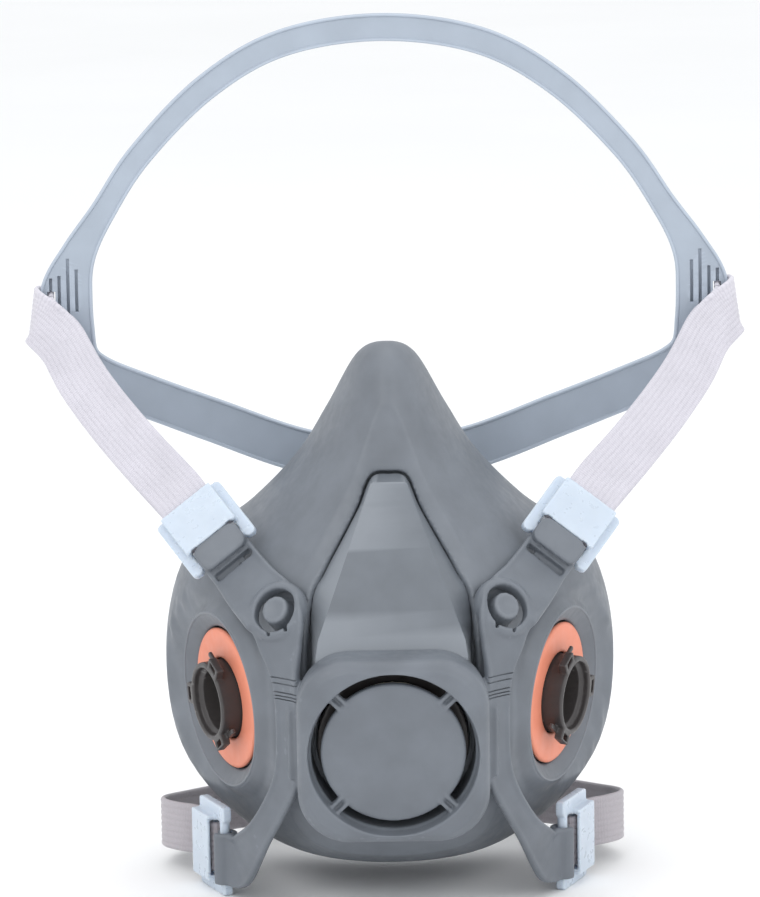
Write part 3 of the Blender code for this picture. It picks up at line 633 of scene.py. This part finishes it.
def collar():
    """Rounded square frame with a round bore, front edge rolled."""
    rot = frame_from(COVER_N, Vector((1, 0, 0)))
    angles = [2 * math.pi * (i + 0.5) / 160 for i in range(160)]
    outer = [(COLLAR_HALF - 0.4, 13.0, -COLLAR_DEPTH), (COLLAR_HALF, 13.0, -6.0),
             (COLLAR_HALF, 13.0, -3.4), (COLLAR_HALF - 0.35, 12.8, -1.9), (COLLAR_HALF - 1.1, 12.4, -0.9),
             (COLLAR_HALF - 2.0, 12.0, -0.25), (COLLAR_HALF - 2.4, 11.8, 0.1)]
    rings = [[(x, y, h) for x, y in squared_ring(half, radius, angles)] for half, radius, h in outer]
    inner = [(COVER_OPEN_R + 0.5, 0.5), (COVER_OPEN_R + 0.15, 0.45), (COVER_OPEN_R, 0.0),
             (COVER_OPEN_R - 0.3, -3.0), (COVER_OPEN_R - 0.8, -3.2), (COVER_OPEN_R - 0.9, -COLLAR_DEPTH)]
    rings += [[(r * math.cos(a), r * math.sin(a), h) for a in angles] for r, h in inner]
    sections = [[COVER_C + rot @ Vector(p) for p in ring] for ring in rings]
    return loft("yoke_moulding", sections, closed=True)


def cover_parts():
    """Slightly domed cover disc and the four short double ribs that carry it."""
    rot = frame_from(COVER_N, Vector((1, 0, 0)))
    parts = [puck("disc", [(DISC_R - 0.5, -4.2), (DISC_R, -3.6), (DISC_R, -2.1), (DISC_R - 0.35, -1.75),
                           (DISC_R - 1.0, -1.65), (6.0, -1.5)], COVER_C, COVER_N, 120)]
    for q in range(4):
        a = math.pi / 4 + q * math.pi / 2
        turn = rot @ Matrix.Rotation(a, 3, "Z")
        for shift in (-1.05, 1.05):
            centre = COVER_C + turn @ Vector((RIB_AT, shift, -2.4))
            parts.append(block("rib", centre, turn, (2.6, 0.5, 1.1)))
        centre = COVER_C + turn @ Vector((RIB_AT, 0, -3.1))
        parts.append(block("web", centre, turn, (2.6, 1.4, 0.6)))
    return parts


def hook_piece(centre, along, mouth_dir, half):
    """C shaped snap hook around a cross bar that runs along the given direction."""
    x = (mouth_dir - along * mouth_dir.dot(along)).normalized()
    y = along.cross(x).normalized()
    mouth = math.radians(HOOK_MOUTH)
    turn = [mouth + (2 * math.pi - 2 * mouth) * i / 24 for i in range(25)]
    outline = [(HOOK_OUT * math.cos(a), HOOK_OUT * math.sin(a)) for a in turn]
    outline += [(HOOK_IN * math.cos(a), HOOK_IN * math.sin(a)) for a in reversed(turn)]
    sections = [[centre + along * s + x * u + y * v for u, v in outline] for s in (-half, half)]
    n = len(outline)
    verts = sections[0] + sections[1]
    faces = [(i, (i + 1) % n, n + (i + 1) % n, n + i) for i in range(n)]
    for i in range(n // 2 - 1):
        faces.append((i, n - 1 - i, n - 2 - i, i + 1))
        faces.append((n + i, n + i + 1, 2 * n - 2 - i, 2 * n - 1 - i))
    obj = new_object("hook", verts, faces)
    fix_normals(obj)
    return obj


def upper_bar():
    return Vector(BAND[0][0]) + UPPER_RUN * BAR_AHEAD, Vector(BAND[0][1]).normalized()


def lower_bar():
    return Vector(BAND[-1][0]) + LOWER_RUN * BAR_AHEAD, Vector(BAND[-1][1]).normalized()


def bar_frame(across, toward):
    """Across, run and outward normal of a buckle on a bar."""
    normal = across.cross(toward).normalized()
    normal = normal if normal.y < 0 else -normal
    run = normal.cross(across).normalized()
    run = run if run.dot(toward) > 0 else -run
    return across, run, normal


def upper_frame():
    bar, across = upper_bar()
    return bar, *bar_frame(across, UPPER_RUN)


def lower_frame():
    bar, across = lower_bar()
    across, run, normal = bar_frame(across, LOWER_RUN)
    return bar - across * LOWER_SHIFT, across, run, normal


def arm_section(c, across, normal, half):
    """Flat strap of the yoke with a low raised border along both edges."""
    h = BAND_T / 2
    lip = 0.45
    profile = [(-half + 0.8, -h), (half - 0.8, -h), (half - 0.1, -h + 0.6), (half, 0.0),
               (half - 0.1, h - 0.4), (half - 0.5, h), (half - 1.0, h - 0.1), (half - 1.4, h - lip),
               (-half + 1.4, h - lip), (-half + 1.0, h - 0.1), (-half + 0.5, h), (-half + 0.1, h - 0.4),
               (-half, 0.0), (-half + 0.1, -h + 0.6)]
    out = normal if normal.y < 0 else -normal
    return [c + across * u + out * v for u, v in profile]


def build_arm():
    """One side of the yoke: strap, snap hooks at both ends, tongue, boss round the stud."""
    sections = [arm_section(*row) for row in frames_along(BAND, 10)]
    arm = loft("arm", sections)
    bar, across, run, normal = upper_frame()
    low, low_across, _, low_normal = lower_frame()
    low = low + low_across * LOWER_SHIFT
    parts = [hook_piece(bar, across, normal + UPPER_RUN * 0.8, HOOK_HALF),
             hook_piece(low, low_across, low_normal + LOWER_RUN * 0.8, HOOK_HALF)]
    rot = Matrix((across, run, normal)).transposed()
    parts.append(plate("tongue", rounded_outline(6.8, 3.8, 2.6), 1.9, 3.6, bar - run * 0.2, rot))
    profile = [(HOLE_R + 0.1, -1.2), (HOLE_R + 0.1, 1.7), (HOLE_R + 0.6, 2.0), (HOLE_R + 1.3, 1.8),
               (HOLE_R + 2.2, 0.9), (HOLE_R + 2.4, -1.2)]
    parts.append(lathe("boss", profile, STUD_P, band_normal(3), 96))
    parts.append(block("web", Vector((-23.9, -32.9, 46.0)), Matrix.Identity(3), (2.4, 1.9, 9.0)))
    return join(arm, parts)


def arm_cutters():
    """Stud hole, its two lower notches and the slot under the tongue."""
    axis = band_normal(3)
    cutters = [disc("hole", HOLE_R, -9, 9, STUD_P, axis, 72)]
    down = (Vector(BAND[4][0]) - Vector(BAND[3][0])).normalized()
    side = down.cross(axis).normalized()
    turn = Matrix((side, down, axis)).transposed()
    for s in (-1, 1):
        spot = STUD_P + down * (HOLE_R - 0.4) + side * s * NOTCH_ASIDE
        cutters.append(block("notch", spot, turn, (0.45, 1.6, 8.0)))
    bar, across, run, normal = upper_frame()
    rot = Matrix((across, run, normal)).transposed()
    cutters.append(plate("slot", rounded_outline(5.7, 1.15, 0.4, 3), -1.0, 8.0, bar - run * 5.6, rot))
    return cutters


GROOVE_HEIGHTS = (62.4, 61.0, 58.8, 57.9, 57.1)
GROOVE_ASIDE = 27.6
GROOVE_Y = -33.0
GROOVE_TURN = 42
GROOVE_HALF = (4.4, 1.3, 0.16)


def groove_cutters(side):
    """Fine lines across the narrow part of an arm, where it flexes."""
    turn = Matrix.Rotation(math.radians(GROOVE_TURN * side), 3, "Z")
    return [block("groove", Vector((side * GROOVE_ASIDE, GROOVE_Y, z)), turn, GROOVE_HALF)
            for z in GROOVE_HEIGHTS]


def build_yoke():
    """Collar, cover and both arms fused into one moulding."""
    yoke = join(collar(), cover_parts())
    arm = build_arm()
    soften(arm, ARM_VOXEL, 1)
    carve(arm, arm_cutters())
    other = mirrored(arm, "other")
    join(yoke, [arm, other])
    soften(yoke, YOKE_VOXEL, 3)
    carve(yoke, groove_cutters(-1) + groove_cutters(1))
    yoke.data.shade_smooth()
    return settle(yoke)


# ---------------------------------------------------------------- ports and valves

def build_port():
    """Bayonet tube with flange, three bracket lugs, inner cross and valve post."""
    rot = frame_from(PORT_N)
    profile = [(TUBE_BORE, -4.6), (RIM_BORE - 0.4, -4.6), (RIM_BORE - 0.4, -3.0), (TUBE_R + 0.3, -3.0),
               (TUBE_R, -2.6), (TUBE_R, 3.3), (TUBE_R - 0.3, 3.7), (TUBE_R - 1.1, 3.75),
               (TUBE_R - 1.4, 3.4), (TUBE_R - 1.5, 2.0), (TUBE_BORE, 1.4)]
    tube = lathe("port_tube_left", profile, PORT_C, PORT_N, 128)
    parts = []
    for q in range(LUGS):
        turn = rot @ Matrix.Rotation(math.radians(90 + 360 / LUGS * q), 3, "Z")
        lug = block("lug", PORT_C + turn @ Vector((TUBE_R + 1.0, 0, LUG_RISE)), turn, LUG_HALF)
        hole = block("hole", PORT_C + turn @ Vector((TUBE_R + 1.2, 0, LUG_RISE)), turn, LUG_HOLE_HALF)
        carve(lug, [hole], "EXACT")
        parts.append(lug)
        parts.append(block("ramp", PORT_C + turn @ Vector((TUBE_R + 0.3, 4.4, 1.4)), turn, RAMP_HALF))
    for q in range(2):
        turn = rot @ Matrix.Rotation(q * math.pi / 2, 3, "Z")
        parts.append(block("spoke", PORT_C + PORT_N * -3.8, turn, (TUBE_BORE + 0.8, 0.8, 0.6)))
    parts.append(disc("post", 2.0, -6.4, -2.6, PORT_C, PORT_N))
    join(tube, parts)
    soften(tube, PORT_VOXEL, 2)
    return settle(tube)


def build_gasket():
    """Flat ring round the tube with a low swell, on the port's flange."""
    profile = [(TUBE_R + 0.4, -2.7), (RIM_BORE - 0.4, -2.7), (RIM_BORE - 0.3, -2.0), (RIM_BORE - 0.7, -1.55),
               (RIM_BORE - 1.3, -1.4), (TUBE_R + 5.4, -1.5), (TUBE_R + 1.3, -1.45), (TUBE_R + 0.7, -1.6),
               (TUBE_R + 0.4, -2.0)]
    return settle(lathe("gasket_left", profile, PORT_C, PORT_N, 144))


def refined(node, name, voxel, passes=2):
    """Moulded copy of a CAD node: same shape, with its facets and edges rounded off."""
    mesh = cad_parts[node].data.copy()
    mesh.transform(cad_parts[node].matrix_world)
    obj = bpy.data.objects.new(name, mesh)
    bpy.context.scene.collection.objects.link(obj)
    obj.data.materials.clear()
    soften(obj, voxel * MM, passes)
    return obj


# ---------------------------------------------------------------- buckles

def build_buckle(name, frame_of, width, length, rail):
    """Strap buckle: two wing rails, raised front plate, cross bar for the hook, two strap bars."""
    bar, across, run, normal = frame_of
    rot = Matrix((across, run, normal)).transposed()
    half = width / 2
    parts = []
    for side in (-1, 1):
        centre = bar + across * side * (half - rail) + run * (length / 2 - 1.0)
        parts.append(plate("rail", rounded_outline(rail, length / 2 + 0.9, 1.3), -1.2, 1.1, centre, rot))
        wall = bar + across * side * (half - rail * 2 + 0.5) + run * (length / 2 + 1.6)
        parts.append(block("wall", wall + normal * 1.4, rot, (0.6, length / 2 - 1.9, 1.9)))
    top = bar + run * (length / 2 + 1.7)
    outline = rounded_outline(half - rail * 2 + 1.1, length / 2 - 2.0, 0.6)
    parts.append(plate("face", outline, 2.55, 3.45, top, rot))
    parts.append(disc("pin", BAR_R, -(half - 1.2), half - 1.2, bar, across, 40))
    parts.append(block("bar", bar + run * (length * 0.5), rot, (half - 1.6, 1.2, 0.75)))
    far = bar + run * (length - 2.2)
    body = join(block(name, far - normal * 3.1, rot, (half - 1.9, 1.2, 0.5)), parts)
    legs = [block("leg", far - normal * 2.1 + across * s * (half - 2.4), rot, (0.5, 1.2, 1.4))
            for s in (-1, 1)]
    join(body, legs)
    soften(body, BUCKLE_VOXEL, 6)
    near = bar + run * 3.5
    notches = [block("notch", near + across * s * (half - 4.6) + normal * 3.2, rot, (0.75, 0.5, 1.6))
               for s in (-1, 1)]
    carve(body, notches)
    body.data.shade_smooth()
    return settle(body)


# ---------------------------------------------------------------- webbing

RIB_STEPS = 6
RIB_GROOVE = 0.2
RIB_EDGE = 0.5


def rib_profile(half, thick, ribs):
    """Closed outline of elastic webbing with lengthwise ribs on both faces."""
    count = ribs * RIB_STEPS
    pts = []
    for face in (1, -1):
        for i in range(count + 1):
            u = -half + 2 * half * i / count
            phase = abs(math.sin(math.pi * ribs * (u + half) / (2 * half)))
            edge = math.sqrt(max(min((half - abs(u)) / RIB_EDGE, 1.0), 0.0))
            v = (thick / 2 - RIB_GROOVE * (1 - phase) ** 2) * (0.45 + 0.55 * edge)
            pts.append((u * face, v * face))
    return pts


def webbing(name, stations, thick, ribs, per):
    """Ribbed elastic strap through the stations, with UVs in millimetres across and along."""
    rows = frames_along(stations, per)
    half = stations[0][2]
    profile = rib_profile(half, thick, ribs)
    sections = [[c + across * (u * h / half) + normal * v for u, v in profile]
                for c, across, normal, h in rows]
    obj = loft(name, sections)
    along = [0.0]
    for a, b in zip(rows, rows[1:]):
        along.append(along[-1] + (b[0] - a[0]).length)
    layer = obj.data.uv_layers.new(name="webbing")
    n = len(profile)
    for loop in obj.data.loops:
        row, i = divmod(loop.vertex_index, n)
        layer.data[loop.index].uv = (profile[i][0], along[row])
    return settle(obj)


def threading(bar, run, normal, length):
    """Strap centres round a buckle's middle bar: over it, under it, up behind."""
    mid = length * 0.5
    spots = [(mid + 1.6, 1.65), (mid - 2.0, 1.2), (mid - 2.8, 0.0),
             (mid - 2.0, -1.2), (mid + 1.0, -1.65), (length - 1.0, -1.7)]
    return [bar + run * u + normal * v for u, v in spots]


def upper_stations():
    """Doubled strap: up to the cradle's slot, round its outer bar and back down in front of itself."""
    bar, across, run, normal = upper_frame()
    half = STRAP_W / 2
    stations = [(p, across, half) for p in threading(bar, run, normal, UPPER_BUCKLE_L)]
    first = len(stations)
    stations += [(Vector(c), Vector(w).normalized(), half) for c, w in CLIMB]
    stations += [(Vector(c), Vector(w).normalized(), h) for c, w, h in SLOT_LOOP]
    tangents = tangents_of([c for c, _, _ in stations])
    for i in reversed(range(first, first + len(CLIMB))):
        c, w, h = stations[i]
        n = tangents[i].cross(w).normalized()
        n = n if n.y < 0 else -n
        stations.append((c + n * LAYER_STEP + w * LAYER_SIDE, w, h))
    for u, v in FRONT_END:
        stations.append((bar + run * (UPPER_BUCKLE_L + u) + normal * v, across, half))
    return stations


def neck_stations():
    """Single strap: round the buckle's bar and back along the ground to the clip."""
    bar, across, run, normal = lower_frame()
    half = NECK_W / 2
    stations = [(p, across, half) for p in threading(bar, run, normal, LOWER_BUCKLE_L)]
    down = Vector((0, 0, -1))
    return stations + [(Vector(c), down, half) for c in NECK_PATH]


# ---------------------------------------------------------------- cradle

def cradle_section(c, radial, normal, half):
    """Thin strip with rounded edges and a low raised border."""
    h = CRADLE_T / 2
    front = normal if normal.y < 0 else -normal
    profile = [(-half + 0.5, -h), (half - 0.5, -h), (half - 0.1, -h + 0.35), (half, 0.1), (half - 0.1, h),
               (half - 0.35, h + 0.25), (half - 0.75, h + 0.2), (half - 1.05, h - 0.15),
               (-half + 1.05, h - 0.15), (-half + 0.75, h + 0.2), (-half + 0.35, h + 0.25), (-half + 0.1, h),
               (-half, 0.1), (-half + 0.1, -h + 0.35)]
    return [c + radial * u + front * v for u, v in profile]


def build_cradle():
    """Closed band with a slot for the strap and a fan of slits on each side."""
    rows = [(*c, h) for c, h in CRADLE]
    lead = (-rows[1][0], *rows[1][1:])
    tail = (-rows[-2][0], *rows[-2][1:])
    left = catmull([lead] + rows + [tail], 12)[12:-12]
    loop = left + [np.array((-r[0], *r[1:])) for r in reversed(left[1:-1])]
    n = len(loop)
    sections = []
    for i in range(n):
        c = Vector(loop[i][:3])
        t = (Vector(loop[(i + 1) % n][:3]) - Vector(loop[i - 1][:3])).normalized()
        radial = (Vector((0, -1, 0)).cross(t)).normalized()
        sections.append(cradle_section(c, radial, t.cross(radial).normalized(), loop[i][3]))
    ring = loft("cradle_band", sections, closed=True)
    cutters = []
    for side in (-1, 1):
        spot = Vector((side * -SLOT_C.x, SLOT_C.y, SLOT_C.z))
        cutters.append(block("slot", spot, Matrix.Identity(3), SLOT_HALF))
        for x, low, high in SLITS:
            centre = Vector((side * x, SLOT_C.y - SLIT_AHEAD, (low + high) / 2))
            half = (SLIT_HALF, SLIT_DEPTH, (high - low) / 2)
            cutters.append(block("slit", centre, Matrix.Identity(3), half))
    carve(ring, cutters)
    sharpen(ring, 40.0)
    return settle(ring)


# ---------------------------------------------------------------- materials

def noise(nodes, links, coords, scale, detail=3.0, rough=0.5):
    tex = nodes.new("ShaderNodeTexNoise")
    tex.inputs["Scale"].default_value = scale
    tex.inputs["Detail"].default_value = detail
    tex.inputs["Roughness"].default_value = rough
    links.new(coords, tex.inputs["Vector"])
    return tex.outputs["Fac"]


def ranged(nodes, links, value, low, high, start=0.3, end=0.7):
    node = nodes.new("ShaderNodeMapRange")
    node.inputs["From Min"].default_value = start
    node.inputs["From Max"].default_value = end
    node.inputs["To Min"].default_value = low
    node.inputs["To Max"].default_value = high
    links.new(value, node.inputs["Value"])
    return node.outputs["Result"]


def mixed(nodes, links, factor, first, second, mode="MIX"):
    node = nodes.new("ShaderNodeMix")
    node.data_type = "RGBA"
    node.blend_type = mode
    links.new(factor, node.inputs["Factor"])
    for socket, value in ((node.inputs[6], first), (node.inputs[7], second)):
        if isinstance(value, tuple):
            socket.default_value = (*value, 1.0)
        else:
            links.new(value, socket)
    return node.outputs[2]


def bumped(nodes, links, height, strength, distance, onto=None):
    node = nodes.new("ShaderNodeBump")
    node.inputs["Strength"].default_value = strength
    node.inputs["Distance"].default_value = distance
    links.new(height, node.inputs["Height"])
    if onto:
        links.new(onto, node.inputs["Normal"])
    return node.outputs["Normal"]


def new_material(name):
    mat = bpy.data.materials.new(name)
    mat.use_nodes = True
    nodes, links = mat.node_tree.nodes, mat.node_tree.links
    shader = nodes["Principled BSDF"]
    coords = nodes.new("ShaderNodeTexCoord").outputs["Object"]
    return mat, nodes, links, shader, coords


def moulded(name, colour, rough, grain=0.25, edge=0.35, specular=0.5, cloud=0.10):
    """Moulded rubber or plastic: cloudy tone, fine sparkle of grain, painted highlight along sharp edges."""
    mat, nodes, links, shader, coords = new_material(name)
    dark = tuple(c * (1 - cloud) for c in colour)
    light = tuple(min(c * (1 + cloud), 1.0) for c in colour)
    tone = mixed(nodes, links, ranged(nodes, links, noise(nodes, links, coords, 90.0), 0, 1), dark, light)
    # painted highlight: sharp convex edges (high pointiness) are mixed toward a paler tone, like the
    # highlights small rounded edges catch
    point = nodes.new("ShaderNodeNewGeometry").outputs["Pointiness"]
    edge_highlight = ranged(nodes, links, point, 0.0, edge, 0.515, 0.60)
    pale = tuple(min(c * 1.5 + 0.08, 1.0) for c in colour)
    tone = mixed(nodes, links, edge_highlight, tone, pale)
    links.new(tone, shader.inputs["Base Color"])
    fine = noise(nodes, links, coords, 2600.0, 2.0)
    links.new(ranged(nodes, links, noise(nodes, links, coords, 420.0), rough - 0.06, rough + 0.08),
              shader.inputs["Roughness"])
    shader.inputs["Specular IOR Level"].default_value = specular
    links.new(bumped(nodes, links, fine, grain, 0.00005), shader.inputs["Normal"])
    return mat


def translucent(name, colour, rough):
    """Milky clear plastic: light passes and scatters a little inside."""
    mat, nodes, links, shader, coords = new_material(name)
    cloudy = noise(nodes, links, coords, 160.0)
    cloud = ranged(nodes, links, cloudy, 0, 1)
    tone = mixed(nodes, links, cloud, tuple(c * 0.94 for c in colour), colour)
    links.new(tone, shader.inputs["Base Color"])
    links.new(ranged(nodes, links, noise(nodes, links, coords, 500.0), rough - 0.05, rough + 0.07),
              shader.inputs["Roughness"])
    shader.inputs["Subsurface Weight"].default_value = 0.6
    shader.inputs["Subsurface Radius"].default_value = (1.0, 1.0, 1.0)
    shader.inputs["Subsurface Scale"].default_value = 0.0015
    shader.inputs["Transmission Weight"].default_value = 0.12
    shader.inputs["IOR"].default_value = 1.45
    links.new(bumped(nodes, links, noise(nodes, links, coords, 1400.0), 0.15, 0.00005),
              shader.inputs["Normal"])
    return mat


def elastic(name, colour, shade):
    """Ribbed elastic webbing: fine weft lines across with painted shade in their grooves, loose fibres as
    darker flecks.
    """
    mat, nodes, links, shader, coords = new_material(name)
    uv = nodes.new("ShaderNodeUVMap")
    uv.uv_map = "webbing"
    wave = nodes.new("ShaderNodeTexWave")
    wave.wave_type = "BANDS"
    wave.bands_direction = "Y"
    wave.inputs["Scale"].default_value = 0.62
    wave.inputs["Distortion"].default_value = 1.6
    wave.inputs["Detail"].default_value = 2.0
    wave.inputs["Detail Scale"].default_value = 1.5
    links.new(uv.outputs["UV"], wave.inputs["Vector"])
    cross = nodes.new("ShaderNodeTexWave")
    cross.wave_type = "BANDS"
    cross.bands_direction = "X"
    cross.inputs["Scale"].default_value = 0.95
    cross.inputs["Distortion"].default_value = 1.2
    links.new(uv.outputs["UV"], cross.inputs["Vector"])
    fuzz = noise(nodes, links, coords, 1800.0, 4.0, 0.7)
    cloud = ranged(nodes, links, noise(nodes, links, coords, 130.0), 0, 1)
    tone = mixed(nodes, links, cloud, tuple(c * 0.93 for c in colour), colour)
    # painted shade: where the weft wave is low, in its grooves, the tone is mixed toward the shade colour
    tone = mixed(nodes, links, ranged(nodes, links, wave.outputs["Fac"], 0.22, 0.0, 0.0, 0.5), tone, shade)
    tone = mixed(nodes, links, ranged(nodes, links, fuzz, 0.25, 0.0, 0.25, 0.5), tone, shade)
    links.new(tone, shader.inputs["Base Color"])
    shader.inputs["Roughness"].default_value = 0.85
    shader.inputs["Specular IOR Level"].default_value = 0.25
    shader.inputs["Sheen Weight"].default_value = 0.35
    shader.inputs["Sheen Roughness"].default_value = 0.5
    weft = bumped(nodes, links, wave.outputs["Fac"], 0.5, 0.00012)
    warp = bumped(nodes, links, cross.outputs["Fac"], 0.35, 0.0001, weft)
    links.new(bumped(nodes, links, fuzz, 0.4, 0.0001, warp), shader.inputs["Normal"])
    return mat


# ---------------------------------------------------------------- assembly

def dress(obj, mat, slot, body, *nodes):
    """Material, slot (not used), body it rides on and the CAD nodes it stands for."""
    obj.data.materials.clear()
    obj.data.materials.append(mat)
    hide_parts(*nodes)
    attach(obj, body)


def both(obj, mat, slot, body, node):
    """Dress a left piece and its mirror image; names end in _left."""
    for piece, side in ((obj, "left"), (mirrored(obj, obj.name.replace("left", "right")), "right")):
        dress(piece, mat, slot, body.replace("left", side), node.replace("left", side))


def dress_strap(obj, mat, side):
    """Material for an upper strap, which runs from the facepiece to the cradle; its CAD node is hidden."""
    obj.data.materials.clear()
    obj.data.materials.append(mat)
    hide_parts("upper_strap_" + side)
    bar, _ = upper_bar()
    start = (bar + SHIFT) * MM
    end = (SLOT_C + SHIFT) * MM
    if side == "right":
        start.x, end.x = -start.x, -end.x
    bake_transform(obj)


def build_object():
    """Every piece with its material, in the order of the CAD nodes."""
    rubber = moulded("facepiece_rubber", (0.150, 0.166, 0.190), 0.46, 0.3, 0.30)
    yoke_mat = moulded("yoke_rubber", (0.140, 0.156, 0.180), 0.44, 0.3, 0.16)
    panel_mat = moulded("panel_plastic", (0.140, 0.156, 0.178), 0.42, 0.3, 0.5)
    dark = moulded("port_plastic", (0.045, 0.04, 0.04), 0.38, 0.2, 0.7)
    salmon = moulded("gasket_rubber", (0.80, 0.27, 0.17), 0.5, 0.3, 0.1, cloud=0.05)
    flap = moulded("valve_rubber", (0.62, 0.58, 0.48), 0.45, 0.2, 0.1)
    clear = translucent("buckle_plastic", (0.62, 0.70, 0.80), 0.3)
    pale = moulded("cradle_plastic", (0.36, 0.41, 0.48), 0.4, 0.2, 0.5, cloud=0.05)
    white = elastic("strap_white", (0.66, 0.64, 0.70), (0.34, 0.33, 0.38))
    # painted shade: the neck strap gets a darker copy of the strap material, for the shade it lies in behind
    # the mask
    shaded_neck_webbing = elastic("strap_grey", (0.46, 0.43, 0.46), (0.22, 0.20, 0.22))

    dress(build_facepiece(), rubber, "facepiece_rubber", "mask", "facepiece_skin")
    dress(build_panel(), panel_mat, "chassis_plastic", "mask", "chassis_panel")
    dress(build_yoke(), yoke_mat, "yoke_rubber", "mask", "harness_yoke")
    both(build_port(), dark, "port_plastic", "mask", "bayonet_port_left")
    both(build_gasket(), salmon, "gasket_rubber", "mask", "port_gasket_left")
    seat = refined("exhalation_valve_seat", "exhale_seat", SEAT_VOXEL)
    dress(seat, dark, "port_plastic", "mask", "exhalation_valve_seat")
    leaf = refined("exhalation_valve", "exhale_flap", FLAP_VOXEL)
    dress(leaf, flap, "valve_rubber", "exhalation_flap", "exhalation_valve")
    leaf = refined("inhalation_valve_left", "inhale_flap_left", FLAP_VOXEL)
    both(leaf, flap, "valve_rubber", "inhalation_flap_left", "inhalation_valve_left")
    upper = build_buckle("top_buckle_left", upper_frame(), UPPER_BUCKLE_W, UPPER_BUCKLE_L, UPPER_RAIL)
    both(upper, clear, "buckle_plastic", "top_buckle_left", "upper_buckle_left")
    lower = build_buckle("neck_buckle_left", lower_frame(), LOWER_BUCKLE_W, LOWER_BUCKLE_L, LOWER_RAIL)
    both(lower, clear, "buckle_plastic", "neck_left", "lower_buckle_left")
    hook = refined("neck_clip_hook", "clip_hook", CLIP_VOXEL)
    dress(hook, clear, "buckle_plastic", "neck_left", "neck_clip_hook")
    loop = refined("neck_clip_loop", "clip_loop", CLIP_VOXEL)
    dress(loop, clear, "buckle_plastic", "neck_right", "neck_clip_loop")
    dress(build_cradle(), pale, "cradle_plastic", "cradle", "head_cradle")
    neck = webbing("neck_webbing_left", neck_stations(), STRAP_T, 8, 8)
    both(neck, shaded_neck_webbing, "strap_grey", "neck_left", "neck_strap_left")
    head = webbing("head_webbing_left", upper_stations(), STRAP_T, 10, 8)
    other = mirrored(head, "head_webbing_right")
    dress_strap(head, white, "left")
    dress_strap(other, white, "right")


# ---------------------------------------------------------------- studio

def build_floor():
    half = 4.0
    floor = new_object("floor", [(-half, -half, 0), (half, -half, 0), (half, half, 0), (-half, half, 0)],
                       [(0, 1, 2, 3)], False)
    mat, nodes, links, shader, coords = new_material("floor_paper")
    cloud = ranged(nodes, links, noise(nodes, links, coords, 3.0), 0, 1)
    links.new(mixed(nodes, links, cloud, (0.93, 0.93, 0.93), (0.95, 0.95, 0.95)), shader.inputs["Base Color"])
    shader.inputs["Roughness"].default_value = 0.9
    floor.data.materials.append(mat)


def area_light(name, place, aim, size, watts):
    data = bpy.data.lights.new(name, "AREA")
    data.shape = "SQUARE"
    data.size = size
    data.energy = watts
    obj = bpy.data.objects.new(name, data)
    bpy.context.scene.collection.objects.link(obj)
    obj.location = place
    obj.rotation_euler = (Vector(aim) - Vector(place)).to_track_quat("-Z", "Y").to_euler()


def build_lights():
    world = bpy.data.worlds.new("studio")
    world.use_nodes = True
    world.node_tree.nodes["Background"].inputs["Color"].default_value = (0.97, 0.985, 1.0, 1.0)
    world.node_tree.nodes["Background"].inputs["Strength"].default_value = 1.04
    bpy.context.scene.world = world
    middle = (0.0, 0.0, 0.08)
    area_light("key", (-0.55, -0.75, 0.95), middle, 0.7, 3.2)
    area_light("fill", (0.75, -0.65, 0.75), middle, 0.8, 2.2)
    area_light("top", (0.0, 0.25, 1.2), middle, 1.0, 2.4)


AZIMUTH = -0.3
ELEVATION = 10.0
DISTANCE = 1.1
LENS = 173.1
AIM = Vector((0.0, -0.0082, 0.1098))
AIM_RIGHT = -0.00201
ROLL = 0.9
AIM_UP = 0.0046


def build_camera():
    azimuth, elevation = math.radians(AZIMUTH), math.radians(ELEVATION)
    back = Vector((math.sin(azimuth) * math.cos(elevation), -math.cos(azimuth) * math.cos(elevation),
                   math.sin(elevation)))
    data = bpy.data.cameras.new("camera")
    data.lens = LENS
    data.sensor_width = 36.0
    data.clip_start = 0.05
    data.clip_end = 20.0
    camera = bpy.data.objects.new("camera", data)
    bpy.context.scene.collection.objects.link(camera)
    turn = (-back).to_track_quat("-Z", "Y") @ Quaternion((0, 0, 1), math.radians(-ROLL))
    right = turn @ Vector((1, 0, 0))
    up = turn @ Vector((0, 1, 0))
    camera.location = AIM + back * DISTANCE + right * AIM_RIGHT + up * AIM_UP
    camera.rotation_euler = turn.to_euler()
    bpy.context.scene.camera = camera


build_object()
build_floor()
build_lights()
build_camera()
bpy.context.scene.view_settings.view_transform = "Standard"
